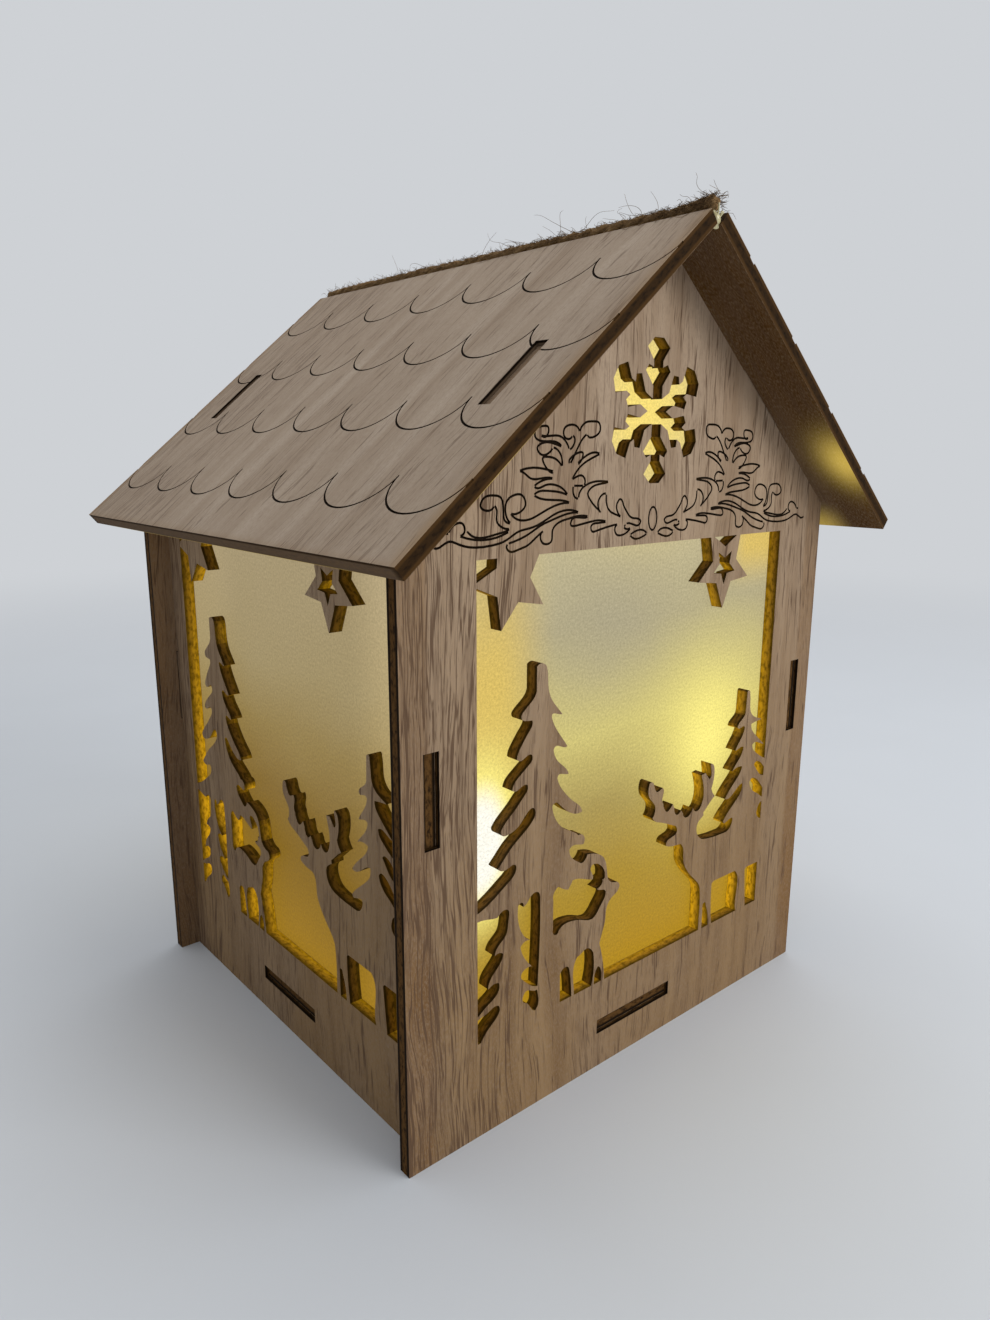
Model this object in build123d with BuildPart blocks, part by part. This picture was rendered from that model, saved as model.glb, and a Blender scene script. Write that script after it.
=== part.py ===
from build123d import *
import os
from math import atan2, cos, degrees, pi, radians, sin, tan

os.makedirs("parts", exist_ok=True)

# A tealight house: four pierced plywood walls, a raised floor and a pitched roof,
# with frosted sheets behind the openings and an LED tealight standing in the middle.
# All lengths are in millimetres. X runs along the front wall, Y to the back, Z up.
# The origin is on the ground, under the middle of the house.

# Plywood and its slots
PLY = 2.8
SLOT_PLAY = 0.25
TAB_SHY = 0.9
SEAM = 0.1
HALF_TURN = 180
BURN_WIDTH = 0.42
BURN_DEPTH = 0.35
BURN_BREAK = 0.16

# Walls
WALL_WIDTH = 120.0
HOUSE_DEPTH = 106.6
EAVE_HEIGHT = 116.2
RIDGE_HEIGHT = 166.6
WALL_LIP = 4.8
CORNER_TAB_FOOT = 62.0
CORNER_TAB_TOP = 79.4

# Window and its picture, which is drawn on squares counted from the middle of the sill
WINDOW_WIDTH = 88.0
WINDOW_SILL = 20.0
WINDOW_HEAD = 110.6
SQUARES_ACROSS = 88
SQUARE = WINDOW_WIDTH / SQUARES_ACROSS

# Stars that hang from the head of the window
PLAIN_STAR_RADIUS = 8.9
PLAIN_STAR_DROP = 4.0
PLAIN_STAR_SIDE = 36.1
PIERCED_STAR_RADIUS = 8.9
PIERCED_STAR_DROP = 6.4
PIERCED_STAR_SIDE = 23.9
STAR_HOLE_RADIUS = 3.9
STAR_TIPS = 5
STAR_WAIST = 0.47
PLAIN_STAR_TURN = 38
PIERCED_STAR_TURN = -90

# Snowflake in the gable, its lift and its size as shares of the gable's height,
# and the scroll below it
SNOWFLAKE_LIFT_SHARE = 0.381
SNOWFLAKE_SIZE_SHARE = 0.264
SNOWFLAKE_ARMS = 6
SCROLL_GAP = 0.4

# Floor
FLOOR_FOOT = 8.0
FLOOR_TAB = 22.8
LIGHT_HOLE_RADIUS = 19.3

# Roof
ROOF_DEPTH = 131.0
ROOF_RUN = 86.6
ROOF_TOP_GAP = 0.6
ROOF_TAB_START = 34.8
ROOF_TAB_END = 51.6
SCALLOP_ROWS = 4
SCALLOPS_PER_ROW = 7
SCALLOP_DIP = 8.2
FIRST_SCALLOP = 10.1
SCALLOP_PITCH = 19.6

# Frosted sheets
SHEET = 0.5
SHEET_FOOT = 12.0
SHEET_DROP = 3.0
SHEET_EDGE_GAP = 0.4

# Twine and glue on the ridge
TWINE_RADIUS = 1.9
TWINE_LIFT = 0.5
TWINE_SHY = 0.5
TWINE_END = 0.5
GLUE_SHY = 4.0
GLUE_FILL = 1.6
GLUE_DROP_RADIUS = 1.4

# LED tealight: housing, base and door
LIGHT_RADIUS = 18.7
LIGHT_HEIGHT = 17.5
LIGHT_WALL = 1.3
LIGHT_EDGE = 0.6
DISH_RIM = 1.8
DISH_DEPTH = 2.6
BASE_RECESS = 1.2
BASE_THICK = 1.5
PART_GAP = 0.3
RUN_PLAY = 0.08
DOOR_LENGTH = 23.0
DOOR_WIDTH = 22.0
DOOR_CORNER = 2.0
HINGE_PIN_RADIUS = 0.45
HINGE_PIN_LENGTH = 1.2
FINGER_NOTCH_RADIUS = 2.6
KNOB_LENGTH = 3.4
KNOB_WIDTH = 2.4
KNOB_DROP = 0.7
KNOB_TRAVEL = 2.6
KNOB_PLACE = 14.2
KNOB_FLANGE = 0.9

# LED tealight: flame, light source, cell and contacts
FLAME_RADIUS = 5.4
FLAME_HEIGHT = 20.0
FLAME_WALL = 0.9
FLAME_FLANGE = 1.2
FLAME_FLANGE_THICK = 0.8
FLAME_SHARES = ((1, 0.12), (0.93, 0.32), (0.68, 0.6), (0.3, 0.86), (0, 1))
LED_RADIUS = 2.5
LED_HEIGHT = 8.6
LED_RIM = 0.4
LED_RIM_HEIGHT = 1.0
LEAD = 0.5
LEAD_SPACING = 2.54
LEAD_CLEAR = 1.2
CELL_RADIUS = 10.0
CELL_HEIGHT = 3.2
CELL_EDGE = 0.3
CELL_PLAY = 0.8
STRIP = 0.3
STRIP_WIDTH = 4.0
STRIP_PLAY = 0.05
TOP_STRIP_REACH = 9.0
TOP_STRIP_RISE = 5.5
SIDE_STRIP_RISE = 3.0

# Sizes that follow from those above
SLOPE = atan2(RIDGE_HEIGHT - EAVE_HEIGHT, WALL_WIDTH / 2)
SIDE_OUT = WALL_WIDTH / 2 - WALL_LIP
SIDE_IN = SIDE_OUT - PLY
GABLE_OUT = HOUSE_DEPTH / 2
GABLE_IN = GABLE_OUT - PLY
SIDE_TOP = RIDGE_HEIGHT - SIDE_OUT * tan(SLOPE)
WINDOW_HEIGHT = WINDOW_HEAD - WINDOW_SILL
GABLE_HEIGHT = RIDGE_HEIGHT - EAVE_HEIGHT
SNOWFLAKE_RADIUS = GABLE_HEIGHT * SNOWFLAKE_SIZE_SHARE
SNOWFLAKE_HEIGHT = EAVE_HEIGHT + GABLE_HEIGHT * SNOWFLAKE_LIFT_SHARE
SCROLL_FOOT = WINDOW_HEAD + SCROLL_GAP
SLOT = PLY + 2 * SLOT_PLAY
TAB_REACH = PLY - TAB_SHY
CORNER_TAB = CORNER_TAB_TOP - CORNER_TAB_FOOT
CORNER_TAB_MIDDLE = (CORNER_TAB_TOP + CORNER_TAB_FOOT) / 2
CORNER_SLOT_SIDE = SIDE_OUT - PLY / 2
FLOOR_MIDDLE = FLOOR_FOOT + PLY / 2
ROOF_TAB = ROOF_TAB_END - ROOF_TAB_START
ROOF_TAB_MIDDLE = (ROOF_TAB_END + ROOF_TAB_START) / 2
ROOF_TAB_SIDE = ROOF_TAB_MIDDLE * cos(SLOPE)
ROOF_TAB_HEIGHT = RIDGE_HEIGHT - ROOF_TAB_MIDDLE * sin(SLOPE)
SCALLOP_WIDTH = ROOF_DEPTH / SCALLOPS_PER_ROW
SCALLOP_MIDDLE = FIRST_SCALLOP + SCALLOP_PITCH * (SCALLOP_ROWS - 1) / 2
GABLE_SHEET_SIDE = SIDE_IN - SHEET_EDGE_GAP
GABLE_SHEET_TOP = RIDGE_HEIGHT - SHEET_DROP
SIDE_SHEET_SIDE = GABLE_IN - SHEET - SHEET_EDGE_GAP
TWINE_HEIGHT = RIDGE_HEIGHT + (TWINE_RADIUS - ROOF_TOP_GAP) / sin(SLOPE) + TWINE_LIFT
TWINE_LENGTH = ROOF_DEPTH - 2 * TWINE_SHY
GLUE_LENGTH = ROOF_DEPTH - 2 * GLUE_SHY
GLUE_FOOT = RIDGE_HEIGHT + SEAM
GLUE_TOP = RIDGE_HEIGHT + GLUE_FILL
LIGHT_CAVITY = LIGHT_RADIUS - LIGHT_WALL
DISH_RADIUS = LIGHT_RADIUS - DISH_RIM
DISH_HEIGHT = LIGHT_HEIGHT - DISH_DEPTH
CEILING = DISH_HEIGHT - LIGHT_WALL
FLAME_HOLE = FLAME_RADIUS + SEAM
BASE_TOP = BASE_RECESS + BASE_THICK
HINGE_RADIUS = BASE_THICK / 2
HINGE_PLACE = HINGE_RADIUS - DOOR_LENGTH / 2
HINGE_HEIGHT = BASE_RECESS + HINGE_RADIUS
CELL_FOOT = BASE_TOP + SEAM
CELL_TOP = CELL_FOOT + CELL_HEIGHT
WELL_RADIUS = CELL_RADIUS + CELL_PLAY
SIDE_STRIP_PLACE = CELL_RADIUS + STRIP_PLAY
SIDE_STRIP_TOP = CELL_TOP + SIDE_STRIP_RISE
LED_FOOT = SIDE_STRIP_TOP + LEAD_CLEAR

# Outside face of each wall, with local x to the right as seen from outside
FRONT = Plane.XZ.offset(GABLE_OUT)
LEFT = Plane(origin=(-SIDE_OUT, 0, 0), x_dir=(0, -1, 0), z_dir=(-1, 0, 0))
LEFT_ROOF = Plane(origin=(0, 0, RIDGE_HEIGHT), x_dir=(0, -1, 0), z_dir=(-sin(SLOPE), 0, cos(SLOPE)))

# The animals and trees. Each outline is a chain of stretches, and each stretch goes on
# from the last point of the one before it. Numbers are squares right of the middle and
# squares above the sill.
FIR_AND_FAWN_SHARES = (
    ((-9.7, -2), (-10, 2.2), (-10.6, 5.5), (-11.6, 9)),
    ((-10.7, 11.5), (-10, 14), (-9.8, 16.2), (-9, 17.6), (-8, 18.4)),
    ((-6.9, 18.9), (-6, 20), (-6.3, 20.9), (-7.2, 21.3)),
    ((-8.6, 21.8), (-9.5, 22.7)),
    ((-9.9, 24.5), (-10.2, 26.2), (-11, 27.9), (-12.6, 29.1), (-15.8, 30)),
    ((-16.4, 29), (-17.2, 28.6), (-18.4, 29.2), (-19.8, 30.2), (-20.7, 31.4), (-20.9, 32.5)),
    ((-19.8, 33.1), (-18.2, 32.8), (-17, 32.6)),
    ((-16.7, 33.2), (-18.4, 34.8)),
    ((-20.2, 36.1), (-22.2, 37.2), (-24, 38.8), (-25.2, 40.8), (-25.7, 42.6)),
    ((-25.1, 43.2), (-24.3, 43.1)),
    ((-22.4, 41.3), (-20.5, 40), (-19, 39.5), (-17.6, 39.6)),
    ((-18.2, 40.8), (-20, 42.3), (-22.3, 44.5), (-23.9, 46.6), (-24.5, 48.1)),
    ((-24.2, 48.6), (-22.8, 48.5), (-21.5, 48.3)),
    ((-22.8, 50), (-24.4, 51.4), (-25.3, 52.8), (-25.6, 53.9)),
    ((-25, 54.5), (-23.6, 54.1), (-22, 53.9)),
    ((-23.6, 56), (-25.2, 58.2), (-26.1, 60)),
    ((-26, 60.9), (-25, 60.8), (-23.5, 60.5)),
    ((-25.2, 62.4), (-26.4, 64), (-27.1, 66), (-27.3, 68.5), (-27.6, 70.1)),
    ((-28.6, 70.9), (-30, 70.5)),
    ((-30, 66),),
    ((-30.5, 64.9), (-31.8, 63.7), (-33.7, 62)),
    ((-33.5, 61.2), (-32.4, 60.8), (-31, 60.6)),
    ((-31, 59.8), (-32, 58.4), (-33.4, 56.6), (-34.4, 55.1), (-34.7, 54)),
    ((-33.4, 53.6), (-32.2, 54.2), (-31, 54.1)),
    ((-31, 53), (-32, 52.1), (-33.8, 50.8), (-35.2, 49.6), (-35.8, 48.3)),
    ((-34.4, 48.1), (-33, 48.7), (-32, 48.5)),
    ((-32.1, 47.4), (-33, 46.4), (-34.8, 44.6), (-37, 42.8), (-38.5, 41.1)),
    ((-38.2, 40.3), (-36, 40.2), (-34.2, 41), (-32.6, 42.6), (-31.4, 43.6)),
    ((-30.3, 43.5), (-30, 42.5), (-31, 40.8), (-33, 39.2), (-35.5, 37.5), (-37.6, 35.5), (-39.1, 34)),
    ((-38, 33.3), (-36.8, 33.4), (-35.6, 33.8)),
    ((-34.7, 33.3), (-34.9, 32), (-36.8, 30.4), (-39, 29), (-41.5, 27.6), (-43.2, 26.9), (-46, 26.6)),
    ((-46, -2),),
)
STAG_AND_FIR_SHARES = (
    ((21.8, -2), (21.8, 4), (21.7, 9), (21.2, 11.4), (20, 12.9), (18.2, 14.6), (16.4, 16.6), (15.2, 18.6)),
    ((14.9, 20.5), (14.6, 22.6), (13.5, 23.8)),
    ((12, 23.9), (10, 24.2), (8.7, 24.7)),
    ((8.9, 25.6), (10.6, 26.2), (12.2, 27)),
    ((12.1, 28), (11, 28.8)),
    ((9, 29.7), (6.8, 30.6), (4.6, 31.5), (3.8, 32.4)),
    ((4.5, 33.6), (4.5, 34.8), (3.4, 36.3), (2.3, 37.7), (2.1, 39.2), (2.5, 40.5)),
    ((3.1, 40.6), (3.8, 39.8)),
    ((4.2, 38.8), (4.9, 38), (5.8, 38.1), (6.7, 38.5)),
    ((7.1, 37.6), (6.8, 36.4), (7.1, 34.8)),
    ((7.6, 33.4), (8.6, 32.6), (9.5, 33), (10.4, 33.9)),
    ((10.9, 32.8),),
    ((11.2, 31.6), (11.9, 31), (12.6, 31.1), (13.3, 31.7)),
    ((13.9, 30.9),),
    ((14.3, 30), (15.4, 29.5), (16.5, 29.9), (17.4, 31.2)),
    ((18, 30.4), (18.8, 30)),
    ((19.9, 30.4), (20.7, 31.6), (21.1, 33.5), (20.8, 35.8), (20, 38.2)),
    ((21.3, 38.4),),
    ((22, 37.6), (22.8, 36.6)),
    ((23.5, 37.1), (23.5, 38.4), (23.2, 40.2)),
    ((24.2, 39.6), (24.6, 38.2), (24.5, 36.4), (23.8, 34.2)),
    ((24.3, 33.1), (25.2, 32.1)),
    ((23.8, 31.2), (22.6, 30.2), (21.3, 29.2)),
    ((21.4, 28.4),),
    ((20.3, 27.8), (19.4, 27), (19.1, 25.6), (19.5, 24.3)),
    ((20.6, 23.1), (22.5, 22.4), (26, 22)),
    ((30.2, 21.9),),
    ((31.6, 22.5), (32.5, 24)),
    ((32.4, 24.9), (31, 24.8), (29.2, 24.4)),
    ((28.9, 24.9),),
    ((30, 26.1), (32, 27.7), (34, 29.3), (35.3, 30.7), (35.6, 32.7)),
    ((34, 32.2), (32, 30.8), (30.2, 30.1), (29.2, 30.3)),
    ((31, 32.3), (33, 34), (34.5, 35.5), (35.1, 36.9)),
    ((34, 37.1), (32.6, 37), (31.4, 36.5)),
    ((32.8, 38), (34.3, 39.5), (35.2, 41.5)),
    ((34.4, 41.8), (33, 41.5), (32.1, 41.3)),
    ((33, 42.6), (34.2, 44), (35.2, 46.3)),
    ((34.4, 46.7), (33.3, 46.4), (32.4, 46.8)),
    ((33.4, 48), (34.6, 48.8), (35.2, 50)),
    ((35.4, 54.3),),
    ((35.9, 54.9), (36.4, 54.2)),
    ((36.7, 51.5), (37, 49.9), (37.9, 48.7), (39.6, 47.8), (41.6, 47.1)),
    ((39.4, 46.9), (37.7, 46.6)),
    ((38, 45.2), (39.2, 43.9), (41, 42.4), (43.1, 40.7)),
    ((41.4, 41.3), (39.8, 41.8), (38.6, 41.4)),
    ((39, 40.2), (40.4, 39), (42.4, 37.7), (46, 36.4)),
    ((46, -2),),
)
OUTLINE_SHARES = (FIR_AND_FAWN_SHARES, STAG_AND_FIR_SHARES)

# Light gaps inside those outlines: beside the small fir, over and under the fawn, under
# the stag, and between the right fir and the frame
GAP_SHARES = (
    (
        ((-45, 24.8), (-43.4, 25.1), (-41.5, 24.8), (-39.2, 24.4)),
        ((-38.2, 25.2), (-37, 25.3), (-36.3, 24.3)),
        ((-36.6, 22), (-37.2, 20), (-38.6, 18.8), (-39.9, 16.8)),
        ((-38.6, 17), (-37.8, 16.5)),
        ((-38.2, 15.2), (-39.6, 13.7), (-40.9, 12.3), (-41.4, 10.5)),
        ((-40, 11.1), (-38.8, 10.8)),
        ((-38.8, 9.4), (-40.2, 7.9), (-42, 7), (-43.2, 6.2), (-45, 5.4)),
    ),
    (
        ((-45, 4.6), (-43.4, 5.3), (-41.6, 5.7), (-40, 6.3), (-38.9, 6.1)),
        ((-38.6, 5), (-39.4, 3.7), (-41.2, 2.3), (-42.6, 0.9), (-43.8, -1)),
        ((-45, -1),),
    ),
    (
        ((-34.2, 24.6), (-33.7, 25.4), (-32.8, 24.4)),
        ((-31.6, 25.2), (-30.6, 26.2), (-29.6, 26.4), (-28.5, 25)),
        ((-28.4, 18), (-28.6, 12), (-28.9, 6.2)),
        ((-30.4, 6.8), (-31.6, 7.8), (-33, 9.2)),
        ((-33.2, 10.4), (-32.3, 11.1), (-30.2, 10.8)),
        ((-31.8, 12.6), (-32.9, 14.4), (-33.5, 16.2)),
        ((-32.4, 17), (-31, 16.9)),
        ((-32.3, 17.9), (-33.4, 19.6), (-34.1, 21.8), (-34.2, 24.6)),
    ),
    (
        ((-29, 5.5), (-30.4, 5.8), (-31.9, 6.3), (-32.8, 5.2), (-32.4, 3.9)),
        ((-31.2, 3), (-30.4, 1.7), (-29.5, 1.1)),
        ((-28.8, 1.8), (-28.7, 4), (-29, 5.5)),
    ),
    (
        ((-25, 16.8), (-25, 23)),
        ((-24.6, 25), (-23.6, 25.6)),
        ((-22.4, 24.7), (-21, 24.1)),
        ((-20.4, 24.8), (-19.8, 25.7)),
        ((-18.4, 25.6), (-16.4, 24.9), (-14.1, 24.1)),
        ((-14.2, 25.2), (-14.8, 26.6), (-14.3, 27.3)),
        ((-13.3, 27.3), (-12, 26.6), (-10.9, 25.4), (-10.5, 23.7)),
        ((-10.7, 23.2), (-11.2, 23.2)),
        ((-11.2, 22.4), (-11.8, 21.8), (-12.8, 21.6)),
        ((-11.6, 21), (-10.6, 20.7), (-10.1, 20.1)),
        ((-10.3, 19), (-11.4, 17.6), (-12.6, 16.1), (-13.8, 15.3)),
        ((-15, 15.4), (-17.4, 16.3), (-20, 16.9), (-22.2, 16.8), (-23.4, 16)),
        ((-24.1, 15.4), (-24.7, 15.7), (-25, 16.8)),
    ),
    (
        ((-22.8, -1), (-22.8, 5.5)),
        ((-22.4, 6.9), (-21.6, 7.3)),
        ((-20.6, 7.1), (-20, 5.4), (-19.6, 2.5), (-19.3, -1)),
    ),
    (
        ((-18.8, -1), (-19, 3), (-18.8, 7), (-18, 8.3)),
        ((-16.6, 8.8), (-15.4, 9.2), (-14.2, 8.7), (-13.2, 7)),
        ((-13, 4), (-13.4, 1), (-14, -1)),
    ),
    (
        ((-12.9, -1), (-12.9, 1.4), (-12.4, 3.1), (-11.8, 3.8)),
        ((-11.1, 3.2), (-10.7, 1.6), (-10.6, -1)),
    ),
    (
        ((39.8, 36.2), (40.4, 36.8), (41.6, 36.7), (43.2, 35.6), (45, 33.9)),
        ((45, 32.9),),
        ((43.8, 32.7), (42.4, 33.3), (41.1, 34.6), (39.8, 36.2)),
    ),
    (
        ((38.4, 32.2), (39.3, 33), (41, 32.5), (42.8, 30.9), (45, 28.6)),
        ((45, 27),),
        ((43.6, 27.4), (42.2, 28.4), (40.4, 29.4), (39.1, 30.6), (38.4, 32.2)),
    ),
    (
        ((42.4, 24.6), (43, 25.7), (45, 25.9)),
        ((45, 21.8),),
        ((43.4, 21.9), (42.3, 23), (42.4, 24.6)),
    ),
    (
        ((22.9, -1), (22.9, 5.6)),
        ((23.4, 6.4), (24.1, 5.7)),
        ((24.8, 3.8), (25.3, -1)),
    ),
    (
        ((26.7, -1), (26.1, 3.5), (25.9, 7), (25.9, 10.3)),
        ((26.6, 10.8),),
        ((34.8, 10.8),),
        ((35.6, 10), (36, 5), (36.9, -1)),
    ),
    (
        ((39.9, -1), (39.4, 4), (38.8, 9.8)),
        ((39.4, 10.4),),
        ((45, 10.4),),
        ((45, -1),),
    ),
)

# One arm of the snowflake, as shares of its radius: along the arm and out from it
SNOWFLAKE_ARM_SHARES = (
    (0, 0.1), (0.35, 0.1), (0.55, 0.265), (0.64, 0.2), (0.6, 0.1),
    (0.69, 0.1), (0.87, 0.24), (1, 0.1),
)

# Left half of the engraved scroll, in squares left of the middle and above its foot.
# Each line of numbers is one burnt line through its points.
SCROLL_SHARES = (
    ((53.1, 2.5), (52.1, 2.1), (49.8, 3), (47.5, 2.4), (44.5, 1.75), (40.5, 1.85), (37.5, 2.5),
     (34.9, 3.75), (31.5, 4.35), (29, 5.2), (26.5, 6.3), (23.5, 6.95), (20.3, 6.4)),
    ((20.3, 6.4), (23.5, 6.25), (26.5, 5.5), (29.5, 4.6), (32.5, 3.2), (34.5, 2.5), (37.1, 1.9)),
    ((37.1, 1.9), (37.4, 1.2), (36.7, 0.55), (34.9, 0.7), (32.7, 1.3), (30.9, 2.4), (28.9, 3.6)),
    ((28.9, 3.6), (29.6, 2.9), (29.3, 1.7), (28.2, 1.25), (27, 1.7), (26.8, 3.4), (25.4, 4.8),
     (23, 5.4), (21, 5.75), (17.9, 5.6)),
    ((17.9, 5.6), (20, 5.5), (22.1, 5.1), (22.3, 4.4), (20.5, 4.15), (17.7, 4.55), (16, 4.75), (13.1, 4.45)),
    ((13.1, 4.45), (15, 4.3), (17.1, 3.6), (16.9, 2.95), (15.5, 2.9), (12, 3.55), (9.9, 3.75)),
    ((9.9, 3.75), (10.7, 3), (10.3, 2), (8.8, 1.7), (7.4, 2.1), (6.3, 2.95)),
    ((6.3, 2.95), (7.6, 2.8), (8.3, 3.2)),
    ((8.3, 3.2), (7.6, 3.65)),
    ((7.6, 3.65), (5.5, 3.5), (3.8, 3.5), (3.5, 4), (4.1, 4.5), (5.5, 4.7), (6.6, 5.1), (7.7, 6.2),
     (8.5, 7.3), (8.9, 8.1), (9.4, 8.4), (10.1, 7.9), (10.4, 7.1), (10.1, 6.1), (9.1, 5.1)),
    ((9.1, 5.1), (11.1, 5.8), (12.5, 6.6), (13.1, 7.7), (13.2, 9.5)),
    ((13.2, 9.5), (14, 9.5), (15, 8.8), (15.4, 8), (15.3, 7.1), (14.5, 6.1)),
    ((14.5, 6.1), (16, 7.2), (17.6, 8.7), (18.1, 9.7), (17.5, 10.5), (15.8, 11.2), (12.7, 11.65)),
    ((12.7, 11.65), (14.5, 11.8), (16.5, 11.75), (18.6, 11.2), (20.1, 10.1), (20.4, 8.9)),
    ((20.4, 8.9), (21.6, 9.4), (21.9, 10.5), (21.8, 11.15)),
    ((21.8, 11.15), (19.2, 11.1)),
    ((19.2, 11.1), (18.9, 12), (19.5, 12.8), (20.8, 12.8), (22.2, 12.2)),
    ((22.2, 12.2), (21.4, 13.3), (19.8, 14.7), (17.8, 15.7), (15.2, 16.65)),
    ((15.2, 16.65), (16.8, 16.9), (18.6, 16.4), (20.9, 15)),
    ((20.9, 15), (19.7, 16), (19.6, 16.8), (20.6, 16.9), (22.7, 15)),
    ((22.7, 15), (21.3, 17.1), (19.8, 19.2), (18.6, 20.1)),
    ((18.6, 20.1), (18.2, 19.6), (17, 19.6), (15.3, 20.9), (15.6, 22), (17, 22.3), (19.2, 22), (20.5, 20.4)),
    ((20.5, 20.4), (21.3, 21.4), (22.9, 21.6), (24.3, 20.9), (24.3, 19.7), (23.4, 19.2), (22.3, 19.8)),
    ((22.3, 19.8), (21.7, 19.3), (22.1, 18), (23, 17.4)),
    ((23, 17.4), (23.9, 18.8), (25.1, 19.6), (27.5, 19.7), (29.8, 19.8)),
    ((29.8, 19.8), (28.1, 20.2), (28.1, 21.1), (29.5, 21.3), (31.1, 20.6), (31.1, 19.5), (30, 18.9),
     (27.5, 18.8), (24.8, 17.9)),
    ((24.8, 17.9), (27, 18.5), (29.4, 18.5), (30.6, 17.7), (29.9, 16.7), (28, 16.8), (27, 17.75)),
    ((27, 17.75), (25.5, 17.1), (24.8, 16), (24.7, 14.5)),
    ((24.7, 14.5), (26.2, 15.8), (28, 16.2), (29.3, 16), (28.9, 14.9), (26.7, 13.7)),
    ((26.7, 13.7), (29, 14.2), (32, 14.4), (34.7, 13.9)),
    ((34.7, 13.9), (33.3, 13.4), (32.2, 12.7), (29.5, 12.6), (26.8, 12.5)),
    ((26.8, 12.5), (29.4, 12.2), (31.3, 11.3)),
    ((31.3, 11.3), (30.5, 10.95), (28.7, 11.4), (26.5, 11.45), (24.4, 10.7), (23.2, 9.6)),
    ((23.2, 9.6), (25.5, 10.2), (28, 10.45), (30.3, 10.35), (31.3, 9.8)),
    ((31.3, 9.8), (30, 9.25), (27, 8.85), (22.6, 8.2)),
    ((22.6, 8.2), (26, 7.9), (29, 6.9), (32, 5.8), (34.8, 5.8), (36.6, 7)),
    ((36.6, 7), (34.4, 7.1), (33.2, 8.3), (33.9, 9.8), (35.6, 10), (37.4, 9), (37.7, 7.2), (36.5, 5.3)),
    ((36.5, 5.3), (38, 6.1), (38.2, 7.9), (38.7, 9.6), (40.4, 10.05), (42.6, 9.5), (43.1, 8.4), (41.6, 7.6),
     (40.2, 8.4)),
    ((40.2, 8.4), (39.6, 7.6), (39.6, 5.8), (38.6, 4.8), (36.7, 4.4)),
    ((36.7, 4.4), (41.5, 4.4), (44.2, 5), (46, 4.6)),
    ((46, 4.6), (44.8, 3.6), (41, 3.4), (36.9, 3.9)),
    ((36.9, 3.9), (41, 2.9), (44.4, 3), (47.5, 3.8)),
    ((47.5, 3.8), (46.4, 4.8), (46.8, 5.7), (48.4, 5.7), (49.6, 4.3)),
    ((49.6, 4.3), (50.6, 4.4)),
    ((6.4, 1.6), (4.8, 2.25), (3.2, 2.4), (1.5, 1.55)),
    ((1.5, 1.55), (3, 1), (4.6, 0.75), (6.4, 1.6)),
)
SCROLL_SEED_SHARES = (1.2, 2.2, 4.4)


def traced(stretch_shares):
    """The face inside an outline of lines, arcs and splines."""
    with BuildSketch() as figure:
        with BuildLine():
            last = None
            for stretch in stretch_shares:
                points = [(x * SQUARE, z * SQUARE) for x, z in stretch]
                if last:
                    points.insert(0, last)
                if len(points) == 2:
                    Line(*points)
                elif len(points) == 3:
                    ThreePointArc(*points)
                else:
                    Spline(*points)
                last = points[-1]
            first = (stretch_shares[0][0][0] * SQUARE, stretch_shares[0][0][1] * SQUARE)
            if last != first:
                Line(last, first)
        make_face()
    return figure.sketch


def star(radius, turn):
    """A five-pointed star with one tip at the angle turn, in degrees."""
    corners = []
    for step in range(2 * STAR_TIPS):
        reach = radius if step % 2 == 0 else radius * STAR_WAIST
        angle = radians(turn) + step * pi / STAR_TIPS
        corners.append((reach * cos(angle), reach * sin(angle)))
    with BuildSketch() as figure:
        with BuildLine():
            Polyline(*corners, close=True)
        make_face()
    return figure.sketch


def burnt_line(shares):
    """The narrow face of one engraved line through its points, on the left half."""
    pen = Spline(*[(-x * SQUARE, z * SQUARE) for x, z in shares])
    with BuildSketch() as figure:
        with BuildLine():
            add(pen.trim(BURN_BREAK / pen.length, 1 - BURN_BREAK / pen.length))
        trace(line_width=BURN_WIDTH)
    return figure.sketch


def groove_half(height):
    """Half the width of the open groove between the roof sheets at a height."""
    return (height - RIDGE_HEIGHT) * tan(SLOPE) + ROOF_TOP_GAP / cos(SLOPE)


# What fills the window: trees, animals and stars, and then the pane less all of them
with BuildSketch() as picture:
    for outline in OUTLINE_SHARES:
        add(traced(outline))
    for gap in GAP_SHARES:
        add(traced(gap), mode=Mode.SUBTRACT)
    with Locations((-PLAIN_STAR_SIDE, WINDOW_HEIGHT - PLAIN_STAR_DROP)):
        add(star(PLAIN_STAR_RADIUS, PLAIN_STAR_TURN))
    with Locations((PIERCED_STAR_SIDE, WINDOW_HEIGHT - PIERCED_STAR_DROP)):
        add(star(PIERCED_STAR_RADIUS, PIERCED_STAR_TURN))
        add(star(STAR_HOLE_RADIUS, PIERCED_STAR_TURN), mode=Mode.SUBTRACT)

with BuildSketch() as window:
    Rectangle(WINDOW_WIDTH, WINDOW_HEIGHT, align=(Align.CENTER, Align.MIN))
    add(picture.sketch, mode=Mode.SUBTRACT)

with BuildSketch() as snowflake_arm:
    with BuildLine():
        arm_points = [(x * SNOWFLAKE_RADIUS, z * SNOWFLAKE_RADIUS) for x, z in SNOWFLAKE_ARM_SHARES]
        Polyline(*arm_points, *[(x, -z) for x, z in reversed(arm_points)], close=True)
    make_face()

with BuildSketch() as snowflake:
    with PolarLocations(0, SNOWFLAKE_ARMS, start_angle=degrees(pi / 2)):
        add(snowflake_arm.sketch)

# The engraved lines of the scroll, made one by one
burnt_lines = [burnt_line(line_shares) for line_shares in SCROLL_SHARES]

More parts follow.
